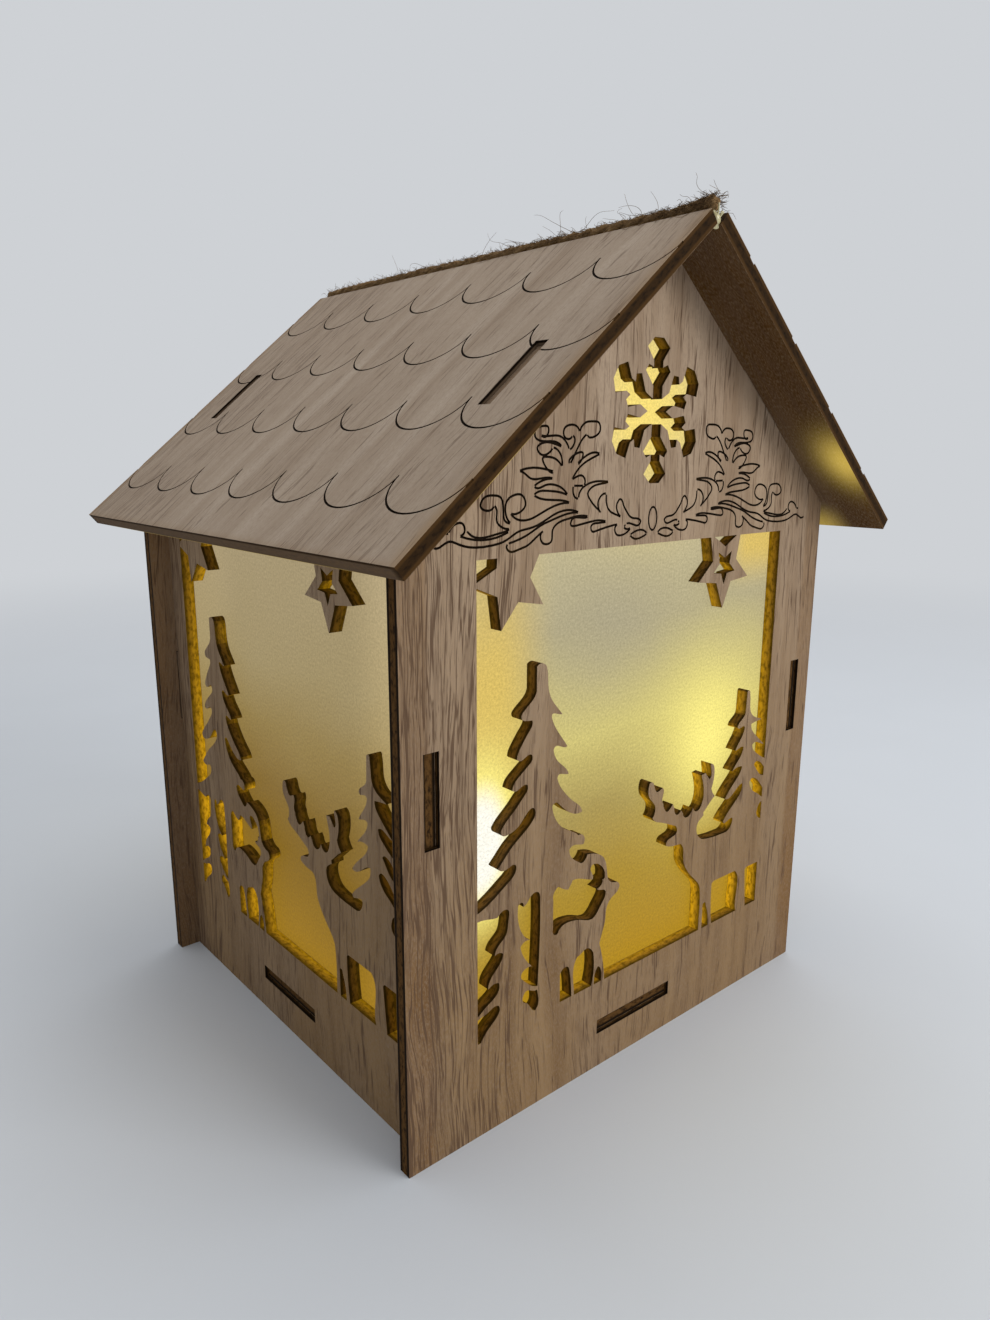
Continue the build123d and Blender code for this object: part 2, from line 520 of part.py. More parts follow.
# Front wall: a gable with the window, the snowflake, the slots, two tabs for the roof
# and the engraved scroll
with BuildPart() as front_wall:
    with BuildSketch(FRONT):
        with BuildLine():
            Polyline(
                (-WALL_WIDTH / 2, 0), (WALL_WIDTH / 2, 0), (WALL_WIDTH / 2, EAVE_HEIGHT),
                (0, RIDGE_HEIGHT), (-WALL_WIDTH / 2, EAVE_HEIGHT), close=True,
            )
        make_face()
        for side in (1, -1):
            with Locations((side * ROOF_TAB_SIDE, ROOF_TAB_HEIGHT)):
                Rectangle(ROOF_TAB - 2 * SLOT_PLAY, 2 * TAB_REACH, rotation=-side * degrees(SLOPE))
        with Locations((-CORNER_SLOT_SIDE, CORNER_TAB_MIDDLE), (CORNER_SLOT_SIDE, CORNER_TAB_MIDDLE)):
            Rectangle(SLOT, CORNER_TAB, mode=Mode.SUBTRACT)
        with Locations((0, FLOOR_MIDDLE)):
            Rectangle(FLOOR_TAB + 2 * SLOT_PLAY, SLOT, mode=Mode.SUBTRACT)
        with Locations((0, SNOWFLAKE_HEIGHT)):
            add(snowflake.sketch, mode=Mode.SUBTRACT)
        with Locations((0, WINDOW_SILL)):
            add(window.sketch, mode=Mode.SUBTRACT)
    extrude(amount=-PLY)
    for every_other in (burnt_lines[0::2], burnt_lines[1::2]):
        with BuildSketch(FRONT):
            with Locations((0, SCROLL_FOOT)):
                for line in every_other:
                    add(line)
            mirror(about=Plane.YZ)
        extrude(amount=-BURN_DEPTH, mode=Mode.SUBTRACT)
    seed_width, seed_height, seed_lift = [share * SQUARE for share in SCROLL_SEED_SHARES]
    with BuildSketch(FRONT):
        with Locations((0, SCROLL_FOOT + seed_lift)):
            Ellipse(seed_width + BURN_WIDTH / 2, seed_height + BURN_WIDTH / 2)
            Ellipse(seed_width - BURN_WIDTH / 2, seed_height - BURN_WIDTH / 2, mode=Mode.SUBTRACT)
    extrude(amount=-BURN_DEPTH, mode=Mode.SUBTRACT)

# Back wall: the same sheet, facing the other way
with BuildPart() as back_wall:
    with Locations(Rotation(0, 0, HALF_TURN)):
        add(front_wall.part)

# Left wall: runs between the gables, with a tab through each of them
with BuildPart() as left_wall:
    with BuildSketch(LEFT):
        Rectangle(2 * (GABLE_IN - SEAM), SIDE_TOP - SEAM, align=(Align.CENTER, Align.MIN))
        with Locations((0, CORNER_TAB_MIDDLE)):
            Rectangle(2 * (GABLE_IN + TAB_REACH), CORNER_TAB - 2 * SLOT_PLAY)
        with Locations((0, FLOOR_MIDDLE)):
            Rectangle(FLOOR_TAB + 2 * SLOT_PLAY, SLOT, mode=Mode.SUBTRACT)
        with Locations((0, WINDOW_SILL)):
            add(window.sketch, mode=Mode.SUBTRACT)
    extrude(amount=-PLY)

# Right wall: the same sheet, facing the other way
with BuildPart() as right_wall:
    with Locations(Rotation(0, 0, HALF_TURN)):
        add(left_wall.part)

# Floor: a tab into each wall and a round hole around the tealight
with BuildPart() as floor_panel:
    with BuildSketch(Plane.XY.offset(FLOOR_FOOT)):
        Rectangle(2 * (SIDE_IN - SEAM), 2 * (GABLE_IN - SEAM))
        Rectangle(2 * (SIDE_IN + TAB_REACH), FLOOR_TAB)
        Rectangle(FLOOR_TAB, 2 * (GABLE_IN + TAB_REACH))
        Circle(LIGHT_HOLE_RADIUS, mode=Mode.SUBTRACT)
    extrude(amount=PLY)

# Left roof: a plain sheet with two slots and four rows of engraved scallops
with BuildPart() as left_roof:
    with BuildSketch(LEFT_ROOF):
        with Locations((0, -ROOF_TOP_GAP)):
            Rectangle(ROOF_DEPTH, ROOF_RUN, align=(Align.CENTER, Align.MAX))
        with Locations((0, -ROOF_TAB_MIDDLE)):
            with GridLocations(2 * GABLE_OUT - PLY, 0, 2, 1):
                Rectangle(SLOT, ROOF_TAB, mode=Mode.SUBTRACT)
    extrude(amount=PLY)
    with BuildSketch(LEFT_ROOF.offset(PLY)):
        with Locations((0, -SCALLOP_MIDDLE)):
            with GridLocations(SCALLOP_WIDTH, SCALLOP_PITCH, SCALLOPS_PER_ROW, SCALLOP_ROWS):
                Ellipse((SCALLOP_WIDTH + BURN_WIDTH) / 2, SCALLOP_DIP + BURN_WIDTH / 2)
            with GridLocations(SCALLOP_WIDTH, SCALLOP_PITCH, SCALLOPS_PER_ROW, SCALLOP_ROWS):
                Ellipse((SCALLOP_WIDTH - BURN_WIDTH) / 2, SCALLOP_DIP - BURN_WIDTH / 2, mode=Mode.SUBTRACT)
            with GridLocations(0, SCALLOP_PITCH, 1, SCALLOP_ROWS):
                Rectangle(2 * ROOF_DEPTH, SCALLOP_PITCH / 2, align=(Align.CENTER, Align.MIN), mode=Mode.SUBTRACT)
    extrude(amount=-BURN_DEPTH, mode=Mode.SUBTRACT)

# Right roof: the same sheet, facing the other way
with BuildPart() as right_roof:
    with Locations(Rotation(0, 0, HALF_TURN)):
        add(left_roof.part)

# Frosted sheet behind the front wall
with BuildPart() as front_sheet:
    with BuildSketch(FRONT.offset(-PLY)):
        with BuildLine():
            Polyline(
                (-GABLE_SHEET_SIDE, SHEET_FOOT), (GABLE_SHEET_SIDE, SHEET_FOOT),
                (GABLE_SHEET_SIDE, GABLE_SHEET_TOP - GABLE_SHEET_SIDE * tan(SLOPE)), (0, GABLE_SHEET_TOP),
                (-GABLE_SHEET_SIDE, GABLE_SHEET_TOP - GABLE_SHEET_SIDE * tan(SLOPE)), close=True,
            )
        make_face()
    extrude(amount=-SHEET)

with BuildPart() as back_sheet:
    with Locations(Rotation(0, 0, HALF_TURN)):
        add(front_sheet.part)

# Frosted sheet behind the left wall
with BuildPart() as left_sheet:
    with BuildSketch(LEFT.offset(-PLY)):
        with Locations((0, SHEET_FOOT)):
            Rectangle(2 * SIDE_SHEET_SIDE, SIDE_TOP - SHEET_DROP - SHEET_FOOT, align=(Align.CENTER, Align.MIN))
    extrude(amount=-SHEET)

with BuildPart() as right_sheet:
    with Locations(Rotation(0, 0, HALF_TURN)):
        add(left_sheet.part)

# Twine that lies in the groove between the two roof sheets
with BuildPart() as ridge_twine:
    with BuildSketch(Plane.XZ.offset(-TWINE_LENGTH / 2)):
        with Locations((0, TWINE_HEIGHT)):
            Circle(TWINE_RADIUS)
    extrude(amount=TWINE_LENGTH)
    fillet(ridge_twine.edges().filter_by(GeomType.CIRCLE), radius=TWINE_END)

# Hot glue in the groove, under the twine
with BuildPart() as ridge_glue:
    with BuildSketch(Plane.XZ.offset(-GLUE_LENGTH / 2)):
        with BuildLine():
            Polyline(
                (-groove_half(GLUE_FOOT), GLUE_FOOT), (groove_half(GLUE_FOOT), GLUE_FOOT),
                (groove_half(GLUE_TOP), GLUE_TOP), (-groove_half(GLUE_TOP), GLUE_TOP), close=True,
            )
        make_face()
        with Locations((0, TWINE_HEIGHT)):
            Circle(TWINE_RADIUS, mode=Mode.SUBTRACT)
    extrude(amount=GLUE_LENGTH)

# Drop of the same glue at the front end of the groove
with BuildPart() as front_glue_drop:
    with Locations((0, (GLUE_DROP_RADIUS - ROOF_DEPTH) / 2, GLUE_FOOT)):
        Sphere(GLUE_DROP_RADIUS)
    for neighbour in (left_roof, right_roof, ridge_twine):
        add(neighbour.part, mode=Mode.SUBTRACT)

# Tealight housing: a cup standing upside down, with a shallow dish for a top and a
# round well for the cell inside
with BuildPart() as tealight_housing:
    with BuildSketch(Plane.XZ):
        with BuildLine():
            Polyline((LIGHT_CAVITY, 0), (LIGHT_RADIUS, 0), (LIGHT_RADIUS, LIGHT_HEIGHT), (DISH_RADIUS, LIGHT_HEIGHT))
            Spline((DISH_RADIUS, LIGHT_HEIGHT), (FLAME_HOLE, DISH_HEIGHT), tangents=((-1, -1), (-1, 0)))
            Polyline((FLAME_HOLE, DISH_HEIGHT), (FLAME_HOLE, CEILING), (LIGHT_CAVITY, CEILING), (LIGHT_CAVITY, 0))
        make_face()
        with Locations((WELL_RADIUS, BASE_TOP + SEAM)):
            Rectangle(LIGHT_WALL, CEILING - BASE_TOP, align=(Align.MIN, Align.MIN))
    revolve(axis=Axis.Z)
    fillet(tealight_housing.edges().group_by(Axis.Z)[-1].sort_by(SortBy.RADIUS)[-1], radius=LIGHT_EDGE)

# Base: a disc with the door opening, the hinge pin holes, a finger notch and the switch slot
with BuildPart() as base_cap:
    with BuildSketch(Plane.XY.offset(BASE_RECESS)):
        Circle(LIGHT_CAVITY - SEAM)
        Rectangle(DOOR_LENGTH + 2 * PART_GAP, DOOR_WIDTH + 2 * PART_GAP, mode=Mode.SUBTRACT)
        with Locations((DOOR_LENGTH / 2, 0)):
            Circle(FINGER_NOTCH_RADIUS, mode=Mode.SUBTRACT)
        with Locations((0, KNOB_PLACE)):
            Rectangle(
                KNOB_LENGTH + KNOB_TRAVEL + 2 * PART_GAP, KNOB_WIDTH + 2 * RUN_PLAY, mode=Mode.SUBTRACT
            )
    extrude(amount=BASE_THICK)
    with BuildSketch(Plane.XZ):
        with Locations((HINGE_PLACE, HINGE_HEIGHT)):
            Circle(HINGE_PIN_RADIUS + RUN_PLAY)
    extrude(amount=DOOR_WIDTH / 2 + HINGE_PIN_LENGTH + PART_GAP, both=True, mode=Mode.SUBTRACT)

# Battery door: a plate with one rounded edge and a pin at each end of it
with BuildPart() as battery_door:
    with BuildSketch(Plane.XY.offset(BASE_RECESS)):
        with Locations((HINGE_PLACE, 0)):
            Rectangle(DOOR_LENGTH - HINGE_RADIUS, DOOR_WIDTH, align=(Align.MIN, Align.CENTER))
    extrude(amount=BASE_THICK)
    fillet(battery_door.edges().filter_by(Axis.Z).group_by(Axis.X)[-1], radius=DOOR_CORNER)
    with BuildSketch(Plane.XZ):
        with Locations((HINGE_PLACE, HINGE_HEIGHT)):
            Circle(HINGE_RADIUS)
    extrude(amount=DOOR_WIDTH / 2, both=True)
    with BuildSketch(Plane.XZ):
        with Locations((HINGE_PLACE, HINGE_HEIGHT)):
            Circle(HINGE_PIN_RADIUS)
    extrude(amount=DOOR_WIDTH / 2 + HINGE_PIN_LENGTH, both=True)

# Switch knob: below the base it is a small bar, and above it a flange keeps it in
with BuildPart() as switch_knob:
    with BuildSketch(Plane.XY.offset(BASE_RECESS - KNOB_DROP)):
        with Locations((KNOB_TRAVEL / 2, KNOB_PLACE)):
            Rectangle(KNOB_LENGTH, KNOB_WIDTH)
    extrude(amount=KNOB_DROP + BASE_THICK + SEAM)
    with BuildSketch(Plane.XY.offset(BASE_TOP + SEAM)):
        with Locations((KNOB_TRAVEL / 2, KNOB_PLACE)):
            Rectangle(KNOB_LENGTH + 2 * KNOB_FLANGE, KNOB_WIDTH + 2 * KNOB_FLANGE)
    extrude(amount=KNOB_FLANGE)

# Flame: a hollow shell with a flange under the housing's top
with BuildPart() as flame_lens:
    with BuildSketch(Plane.XZ):
        outside = [(r * FLAME_RADIUS, DISH_HEIGHT + z * FLAME_HEIGHT) for r, z in FLAME_SHARES]
        inside = [
            (r * (FLAME_RADIUS - FLAME_WALL), DISH_HEIGHT + z * (FLAME_HEIGHT - 2 * FLAME_WALL))
            for r, z in FLAME_SHARES
        ]
        with BuildLine():
            Spline(*outside, tangents=((0, 1), (-1, 1)))
            Spline(*inside, tangents=((0, 1), (-1, 1)))
            Line(outside[-1], inside[-1])
            Polyline(
                outside[0], (FLAME_RADIUS, CEILING), (FLAME_RADIUS + FLAME_FLANGE, CEILING),
                (FLAME_RADIUS + FLAME_FLANGE, CEILING - FLAME_FLANGE_THICK),
                (FLAME_RADIUS - FLAME_WALL, CEILING - FLAME_FLANGE_THICK), inside[0],
            )
        make_face()
    revolve(axis=Axis.Z)

# LED with its two leads, one shorter than the other
with BuildPart() as led:
    with Locations((0, 0, LED_FOOT)):
        Cylinder(LED_RADIUS + LED_RIM, LED_RIM_HEIGHT, align=(Align.CENTER, Align.CENTER, Align.MIN))
        Cylinder(LED_RADIUS, LED_HEIGHT - LED_RADIUS, align=(Align.CENTER, Align.CENTER, Align.MIN))
    with Locations((0, 0, LED_FOOT + LED_HEIGHT - LED_RADIUS)):
        Sphere(LED_RADIUS)
    for side, foot in ((-1, CELL_TOP + STRIP), (1, SIDE_STRIP_TOP)):
        with Locations((side * LEAD_SPACING / 2, 0, foot)):
            Box(LEAD, LEAD, LED_FOOT - foot, align=(Align.CENTER, Align.CENTER, Align.MIN))

with BuildPart() as coin_cell:
    with Locations((0, 0, CELL_FOOT)):
        Cylinder(CELL_RADIUS, CELL_HEIGHT, align=(Align.CENTER, Align.CENTER, Align.MIN))
    chamfer(coin_cell.edges(), length=CELL_EDGE)

# Contact on top of the cell, bent up beside the wall of the well
with BuildPart() as top_contact:
    with BuildSketch(Plane.XZ):
        with BuildLine():
            Polyline(
                (-LEAD, CELL_TOP), (-TOP_STRIP_REACH, CELL_TOP), (-TOP_STRIP_REACH, CELL_TOP + TOP_STRIP_RISE),
                (STRIP - TOP_STRIP_REACH, CELL_TOP + TOP_STRIP_RISE),
                (STRIP - TOP_STRIP_REACH, CELL_TOP + STRIP), (-LEAD, CELL_TOP + STRIP), close=True,
            )
        make_face()
    extrude(amount=STRIP_WIDTH / 2, both=True)

# Contact beside the cell, bent inwards to the other lead
with BuildPart() as side_contact:
    with BuildSketch(Plane.XZ):
        with BuildLine():
            Polyline(
                (SIDE_STRIP_PLACE, CELL_FOOT), (SIDE_STRIP_PLACE + STRIP, CELL_FOOT),
                (SIDE_STRIP_PLACE + STRIP, SIDE_STRIP_TOP), (LEAD, SIDE_STRIP_TOP),
                (LEAD, SIDE_STRIP_TOP - STRIP), (SIDE_STRIP_PLACE, SIDE_STRIP_TOP - STRIP), close=True,
            )
        make_face()
    extrude(amount=STRIP_WIDTH / 2, both=True)

for name, piece in (
    ("front_wall", front_wall), ("back_wall", back_wall), ("left_wall", left_wall), ("right_wall", right_wall),
    ("floor_panel", floor_panel), ("left_roof", left_roof), ("right_roof", right_roof),
    ("front_sheet", front_sheet), ("back_sheet", back_sheet), ("left_sheet", left_sheet),
    ("right_sheet", right_sheet), ("ridge_twine", ridge_twine), ("ridge_glue", ridge_glue),
    ("front_glue_drop", front_glue_drop), ("tealight_housing", tealight_housing), ("base_cap", base_cap),
    ("battery_door", battery_door), ("switch_knob", switch_knob), ("flame_lens", flame_lens), ("led", led),
    ("coin_cell", coin_cell), ("top_contact", top_contact), ("side_contact", side_contact),
):
    piece.part.label = name
    export_step(piece.part, f"parts/{name}.step")
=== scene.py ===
"""Looks of a plywood tealight house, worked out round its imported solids."""

from math import cos, pi, radians, sin

import bmesh
import bpy
import numpy as np
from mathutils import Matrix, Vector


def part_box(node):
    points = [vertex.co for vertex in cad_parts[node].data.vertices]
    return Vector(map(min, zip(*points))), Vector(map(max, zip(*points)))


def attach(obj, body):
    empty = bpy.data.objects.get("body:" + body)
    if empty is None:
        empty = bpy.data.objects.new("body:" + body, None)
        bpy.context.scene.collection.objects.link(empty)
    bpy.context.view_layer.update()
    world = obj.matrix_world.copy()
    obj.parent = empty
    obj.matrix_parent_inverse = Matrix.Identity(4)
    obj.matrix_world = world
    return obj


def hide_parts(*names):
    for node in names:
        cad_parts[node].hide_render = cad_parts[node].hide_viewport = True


bl_info = {
    "name": "Tealight House Looks",
    "version": (1, 0, 0),
    "blender": (4, 5, 0),
    "location": "View3D > Sidebar > Tealight House",
    "description": "Plywood, frosted sheets, twine and tealight finishes for a tealight house",
    "category": "Object",
}

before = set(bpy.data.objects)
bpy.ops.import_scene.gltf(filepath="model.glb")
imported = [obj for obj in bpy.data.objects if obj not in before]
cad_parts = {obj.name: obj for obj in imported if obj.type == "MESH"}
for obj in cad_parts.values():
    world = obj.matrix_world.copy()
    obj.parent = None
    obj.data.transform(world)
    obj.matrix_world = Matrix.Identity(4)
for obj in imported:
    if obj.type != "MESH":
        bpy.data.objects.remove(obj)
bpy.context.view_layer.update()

MM = 0.001
HOUSE = "house"

# Places of the sheets, which the finishes measure their depth from
SLOPE = radians(40.03)
PLY = 2.8 * MM
RIDGE_HEIGHT = 166.6 * MM
GABLE_OUT = 53.3 * MM
SIDE_OUT = 55.2 * MM
FLOOR_TOP = 10.8 * MM
ROOF_FACE = RIDGE_HEIGHT * cos(SLOPE) + PLY
UP = (0, 0, 1)
BLACK = (0.0, 0.0, 0.0, 1.0)

# For each plywood node: across the grain, along the grain, outwards, and how far out the face is
WALLS = {
    "front_wall": ((1, 0, 0), (0, 0, 1), (0, -1, 0), GABLE_OUT),
    "back_wall": ((-1, 0, 0), (0, 0, 1), (0, 1, 0), GABLE_OUT),
    "left_wall": ((0, -1, 0), (0, 0, 1), (-1, 0, 0), SIDE_OUT),
    "right_wall": ((0, 1, 0), (0, 0, 1), (1, 0, 0), SIDE_OUT),
    "floor_panel": ((0, 1, 0), (1, 0, 0), (0, 0, 1), FLOOR_TOP),
}
ROOFS = {
    "left_roof": ((0, -1, 0), (-cos(SLOPE), 0, -sin(SLOPE)), (-sin(SLOPE), 0, cos(SLOPE)), ROOF_FACE),
    "right_roof": ((0, 1, 0), (cos(SLOPE), 0, -sin(SLOPE)), (sin(SLOPE), 0, cos(SLOPE)), ROOF_FACE),
}
# For each frosted sheet: across it, and whether it stands in a gable
SHEETS = {
    "front_sheet": ((1, 0, 0), True),
    "back_sheet": ((-1, 0, 0), True),
    "left_sheet": ((0, -1, 0), False),
    "right_sheet": ((0, 1, 0), False),
}

# Layers of the grain: how fine each is across and along the grain, and its seed, detail and roughness
GRAINS = {
    "bands": (0.16, 0.004, 3.0, 3.0, 0.6),
    "streaks": (1.4, 0.06, 7.0, 3.0, 0.6),
    "lines": (0.85, 0.03, 29.0, 2.0, 0.5),
    "breaks": (0.8, 0.07, 31.0, 2.0, 0.5),
    "pores": (2.8, 0.2, 11.0, 2.0, 0.6),
    "fibres": (4.0, 1.1, 17.0, 2.0, 0.7),
}
CLOUD_SEED = 23.0

# Marks on the wood, and the painted shade at the walls' foot, in millimetres: where each one starts and where
# it is full
CUT_DEPTH = (0.02, 0.1)
ENGRAVED_DEPTH = (0.4, 0.7)
MIDDLE_LAYER = (0.5, 0.95)
DARKER_SIDE = (26.0, 46.0)
# Heights over which the walls' painted shade at the foot fades out
FOOT_SHADE_HEIGHT = (20.0, 150.0)
WALL_BORDER = (53.4, 55.2)
ROOF_BORDER = (62.0, 65.6)
EAVE_BORDER = (-22.0, -17.8)
TAB_HEIGHT = (124.0, 126.0)
TAB_SIDE = (15.0, 17.0)

# The lamp and where its light falls, in millimetres. A patch has a middle and a width.
LAMP_HEIGHT = 30.0
RIM_REACH = 55.0
ROOF_REACH = 52.0
WINDOW_SIDE = (45.0, 46.5)
WINDOW_FOOT = (18.0, 19.5)
WINDOW_HEAD = (111.0, 112.5)
STAR_SIDE = (14.0, 15.0)
STAR_FOOT = (120.0, 121.0)
INSIDE_X = (51.0, 54.0)
INSIDE_Y = (50.0, 52.0)
STRIP_X = (59.0, 67.0)
STRIP_Y = (50.0, 59.0)
PATCH_X = (48.8, 5.8)
PATCH_Y = (65.0, 5.2)

# Places in a gable's sheet, in millimetres: middle and width across, then middle and width upwards
HAZE = ((-8.0, 17.0), (97.0, 13.0))
BESIDE_FLAME = ((25.0, 15.0), (65.0, 17.0))
BEHIND_STAR = ((0.0, 20.0), (136.0, 18.0))
HALO = ((-41.0, 9.0), (58.0, 15.0))
SHEET_SCALE = 150.0

# How much of the jute's pattern one fibre shows along and round it
FIBRE_UV = (0.05, 1.0)

# The camera that took the photograph, and how far the ground reaches
CAMERA_PLACE = (-0.14034, -0.17179, 0.12889)
CAMERA_TURN = (77.050, -0.092, -40.253)
CAMERA_LENS = 25.309
CAMERA_SENSOR = 36.0
GROUND_REACH = 3.0


def srgb(red, green, blue):
    """The linear colour of red, green and blue given from 0 to 255."""
    values = np.array((red, green, blue)) / 255
    linear = np.where(values <= 0.04045, values / 12.92, ((values + 0.055) / 1.055) ** 2.4)
    return (*[float(v) for v in linear], 1.0)


class Wire:
    """A node's output socket. Python's operators on it add Math nodes."""

    def __init__(self, finish, socket):
        self.finish = finish
        self.socket = socket

    def math(self, operation, *values):
        return self.finish.node("ShaderNodeMath", {"operation": operation}, dict(enumerate(values)))

    def __add__(self, other):
        return self.math("ADD", self, other)

    __radd__ = __add__

    def __sub__(self, other):
        return self.math("SUBTRACT", self, other)

    def __rsub__(self, other):
        return self.math("SUBTRACT", other, self)

    def __mul__(self, other):
        return self.math("MULTIPLY", self, other)

    def __truediv__(self, other):
        return self.math("DIVIDE", self, other)

    def __pow__(self, other):
        return self.math("POWER", self, other)

    def __neg__(self):
        return self.math("MULTIPLY", self, -1.0)

    def __abs__(self):
        return self.math("ABSOLUTE", self)

    def largest(self, other):
        return self.math("MAXIMUM", self, other)

    def rise(self, low, high):
        """0 below low, 1 above high and a smooth step between them."""
        settings = {"interpolation_type": "SMOOTHSTEP"}
        inputs = {"Value": self, "From Min": low, "From Max": high, "To Min": 0.0, "To Max": 1.0}
        return self.finish.node("ShaderNodeMapRange", settings, inputs)

    def hill(self, centre, width):
        """1 at the centre, falling off as a bell curve of that width."""
        away = (self - centre) / width
        return self.math("EXPONENT", -(away * away))


class Finish:
    """A material, or the world, that is written down as expressions."""

    def __init__(self, holder):
        self.holder = holder
        holder.use_nodes = True
        self.tree = holder.node_tree
        self.tree.nodes.clear()

    def node(self, kind, settings, inputs, output=0):
        """One node: its settings come first, then the values or wires of its sockets."""
        made = self.tree.nodes.new(kind)
        for key, value in settings.items():
            if key == "stops":
                ramp = made.color_ramp
                while len(ramp.elements) < len(value):
                    ramp.elements.new(0.5)
                for element, (place, colour) in zip(ramp.elements, value):
                    element.position = place
                    element.color = colour
            else:
                setattr(made, key, value)
        for key, value in inputs.items():
            if isinstance(value, Wire):
                self.tree.links.new(value.socket, made.inputs[key])
            else:
                made.inputs[key].default_value = value
        if output is None:
            return None
        return Wire(self, made.outputs[output])

    def place(self):
        """The point on the object, in metres."""
        return self.node("ShaderNodeTexCoord", {}, {}, "Object")

    def along(self, point, axis):
        """How far a point lies along an axis."""
        return self.vector("DOT_PRODUCT", point, axis, "Value")

    def length(self, point):
        return self.node("ShaderNodeVectorMath", {"operation": "LENGTH"}, {0: point}, "Value")

    def vector(self, operation, first, second, output="Vector"):
        return self.node("ShaderNodeVectorMath", {"operation": operation}, {0: first, 1: second}, output)

    def point(self, x, y, z):
        return self.node("ShaderNodeCombineXYZ", {}, {"X": x, "Y": y, "Z": z})

    def noise(self, point, scale=1.0, detail=2.0, roughness=0.5):
        inputs = {"Vector": point, "Scale": scale, "Detail": detail, "Roughness": roughness}
        return self.node("ShaderNodeTexNoise", {}, inputs)

    def lamplight(self, here, reach):
        """How much of the lamp's light a face would catch: the slant of the face towards the
        lamp, times the square of reach over the distance. Reach is in millimetres."""
        to_lamp = self.vector("SUBTRACT", (0.0, 0.0, LAMP_HEIGHT * MM), here)
        away = self.length(to_lamp)
        facing = self.node("ShaderNodeNewGeometry", {}, {}, "True Normal")
        slant = self.vector("DOT_PRODUCT", to_lamp, facing, "Value").largest(0.0) / away
        return slant * (away / (reach * MM)) ** -2.0

    def mix(self, amount, first, second, blend="MIX"):
        """A colour between two others."""
        settings = {"data_type": "RGBA", "blend_type": blend, "clamp_factor": True}
        return self.node("ShaderNodeMix", settings, {0: amount, 6: first, 7: second}, 2)

    def ramp(self, amount, stops):
        return self.node("ShaderNodeValToRGB", {"stops": stops}, {"Fac": amount})

    def bump(self, height, distance, strength=1.0):
        return self.node("ShaderNodeBump", {}, {"Height": height, "Distance": distance, "Strength": strength})

    def surface(self, **sockets):
        """The closing shader. Underscores in a name stand for spaces."""
        inputs = {name.replace("_", " "): value for name, value in sockets.items()}
        shader = self.node("ShaderNodeBsdfPrincipled", {}, inputs)
        self.node("ShaderNodeOutputMaterial", {}, {"Surface": shader}, None)
        return self.holder


def wear(node, material):
    """Gives a CAD node its finish."""
    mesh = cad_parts[node].data
    mesh.materials.clear()
    mesh.materials.append(material)


def put_mesh(name, grids, material, wrap, uv_scale=(1.0, 1.0)):
    """A mesh of many equal grids of points. Each grid is rows by columns, its columns join up
    again where wrap is set, and its UV runs along the rows and the columns."""
    count, rows, columns, _ = grids.shape
    first = np.arange(count * rows * columns).reshape(count, rows, columns)
    if wrap:
        ring = np.concatenate((first, first[:, :, :1]), axis=2)
    else:
        ring = first
    faces = np.stack((ring[:, :-1, :-1], ring[:, :-1, 1:], ring[:, 1:, 1:], ring[:, 1:, :-1]), axis=-1)
    faces = faces.reshape(-1, 4)
    mesh = bpy.data.meshes.new(name)
    mesh.vertices.add(count * rows * columns)
    mesh.vertices.foreach_set("co", grids.reshape(-1))
    mesh.loops.add(faces.size)
    mesh.loops.foreach_set("vertex_index", faces.reshape(-1))
    mesh.polygons.add(len(faces))
    mesh.polygons.foreach_set("loop_start", np.arange(len(faces)) * 4)
    mesh.polygons.foreach_set("loop_total", np.full(len(faces), 4))
    mesh.polygons.foreach_set("use_smooth", np.full(len(faces), True))
    layer = mesh.uv_layers.new(name="UVMap")
    row = np.broadcast_to(np.arange(rows)[None, :, None], ring.shape) / (rows - 1)
    column = np.broadcast_to(np.arange(ring.shape[2])[None, None, :], ring.shape) / (ring.shape[2] - 1)
    flat = np.stack((row * uv_scale[0], column * uv_scale[1]), axis=-1)
    corners = np.stack((flat[:, :-1, :-1], flat[:, :-1, 1:], flat[:, 1:, 1:], flat[:, 1:, :-1]), axis=3)
    layer.data.foreach_set("uv", corners.reshape(-1))
    mesh.update(calc_edges=True)
    shell = bmesh.new()
    shell.from_mesh(mesh)
    bmesh.ops.remove_doubles(shell, verts=shell.verts, dist=1e-8)
    shell.to_mesh(mesh)
    shell.free()
    mesh.materials.append(material)
    made = bpy.data.objects.new(name, mesh)
    bpy.context.scene.collection.objects.link(made)
    return made


def tube_round(paths, radii, sides):
    """Tubes round paths of points: at each point, a ring of that radius lies square to the path,
    its first side turned to whichever of up and sideways is further from the path's direction."""
    ahead = np.gradient(paths, axis=1)
    ahead /= np.linalg.norm(ahead, axis=-1, keepdims=True)
    up = np.where(np.abs(ahead[..., 2:3]) < 0.8, np.array((0.0, 0.0, 1.0)), np.array((1.0, 0.0, 0.0)))
    side = np.cross(ahead, up)
    side /= np.linalg.norm(side, axis=-1, keepdims=True)
    over = np.cross(ahead, side)
    turn = np.arange(sides) * 2 * pi / sides
    ring = side[:, :, None] * np.cos(turn)[:, None] + over[:, :, None] * np.sin(turn)[:, None]
    return paths[:, :, None] + ring * radii[:, :, None, None]


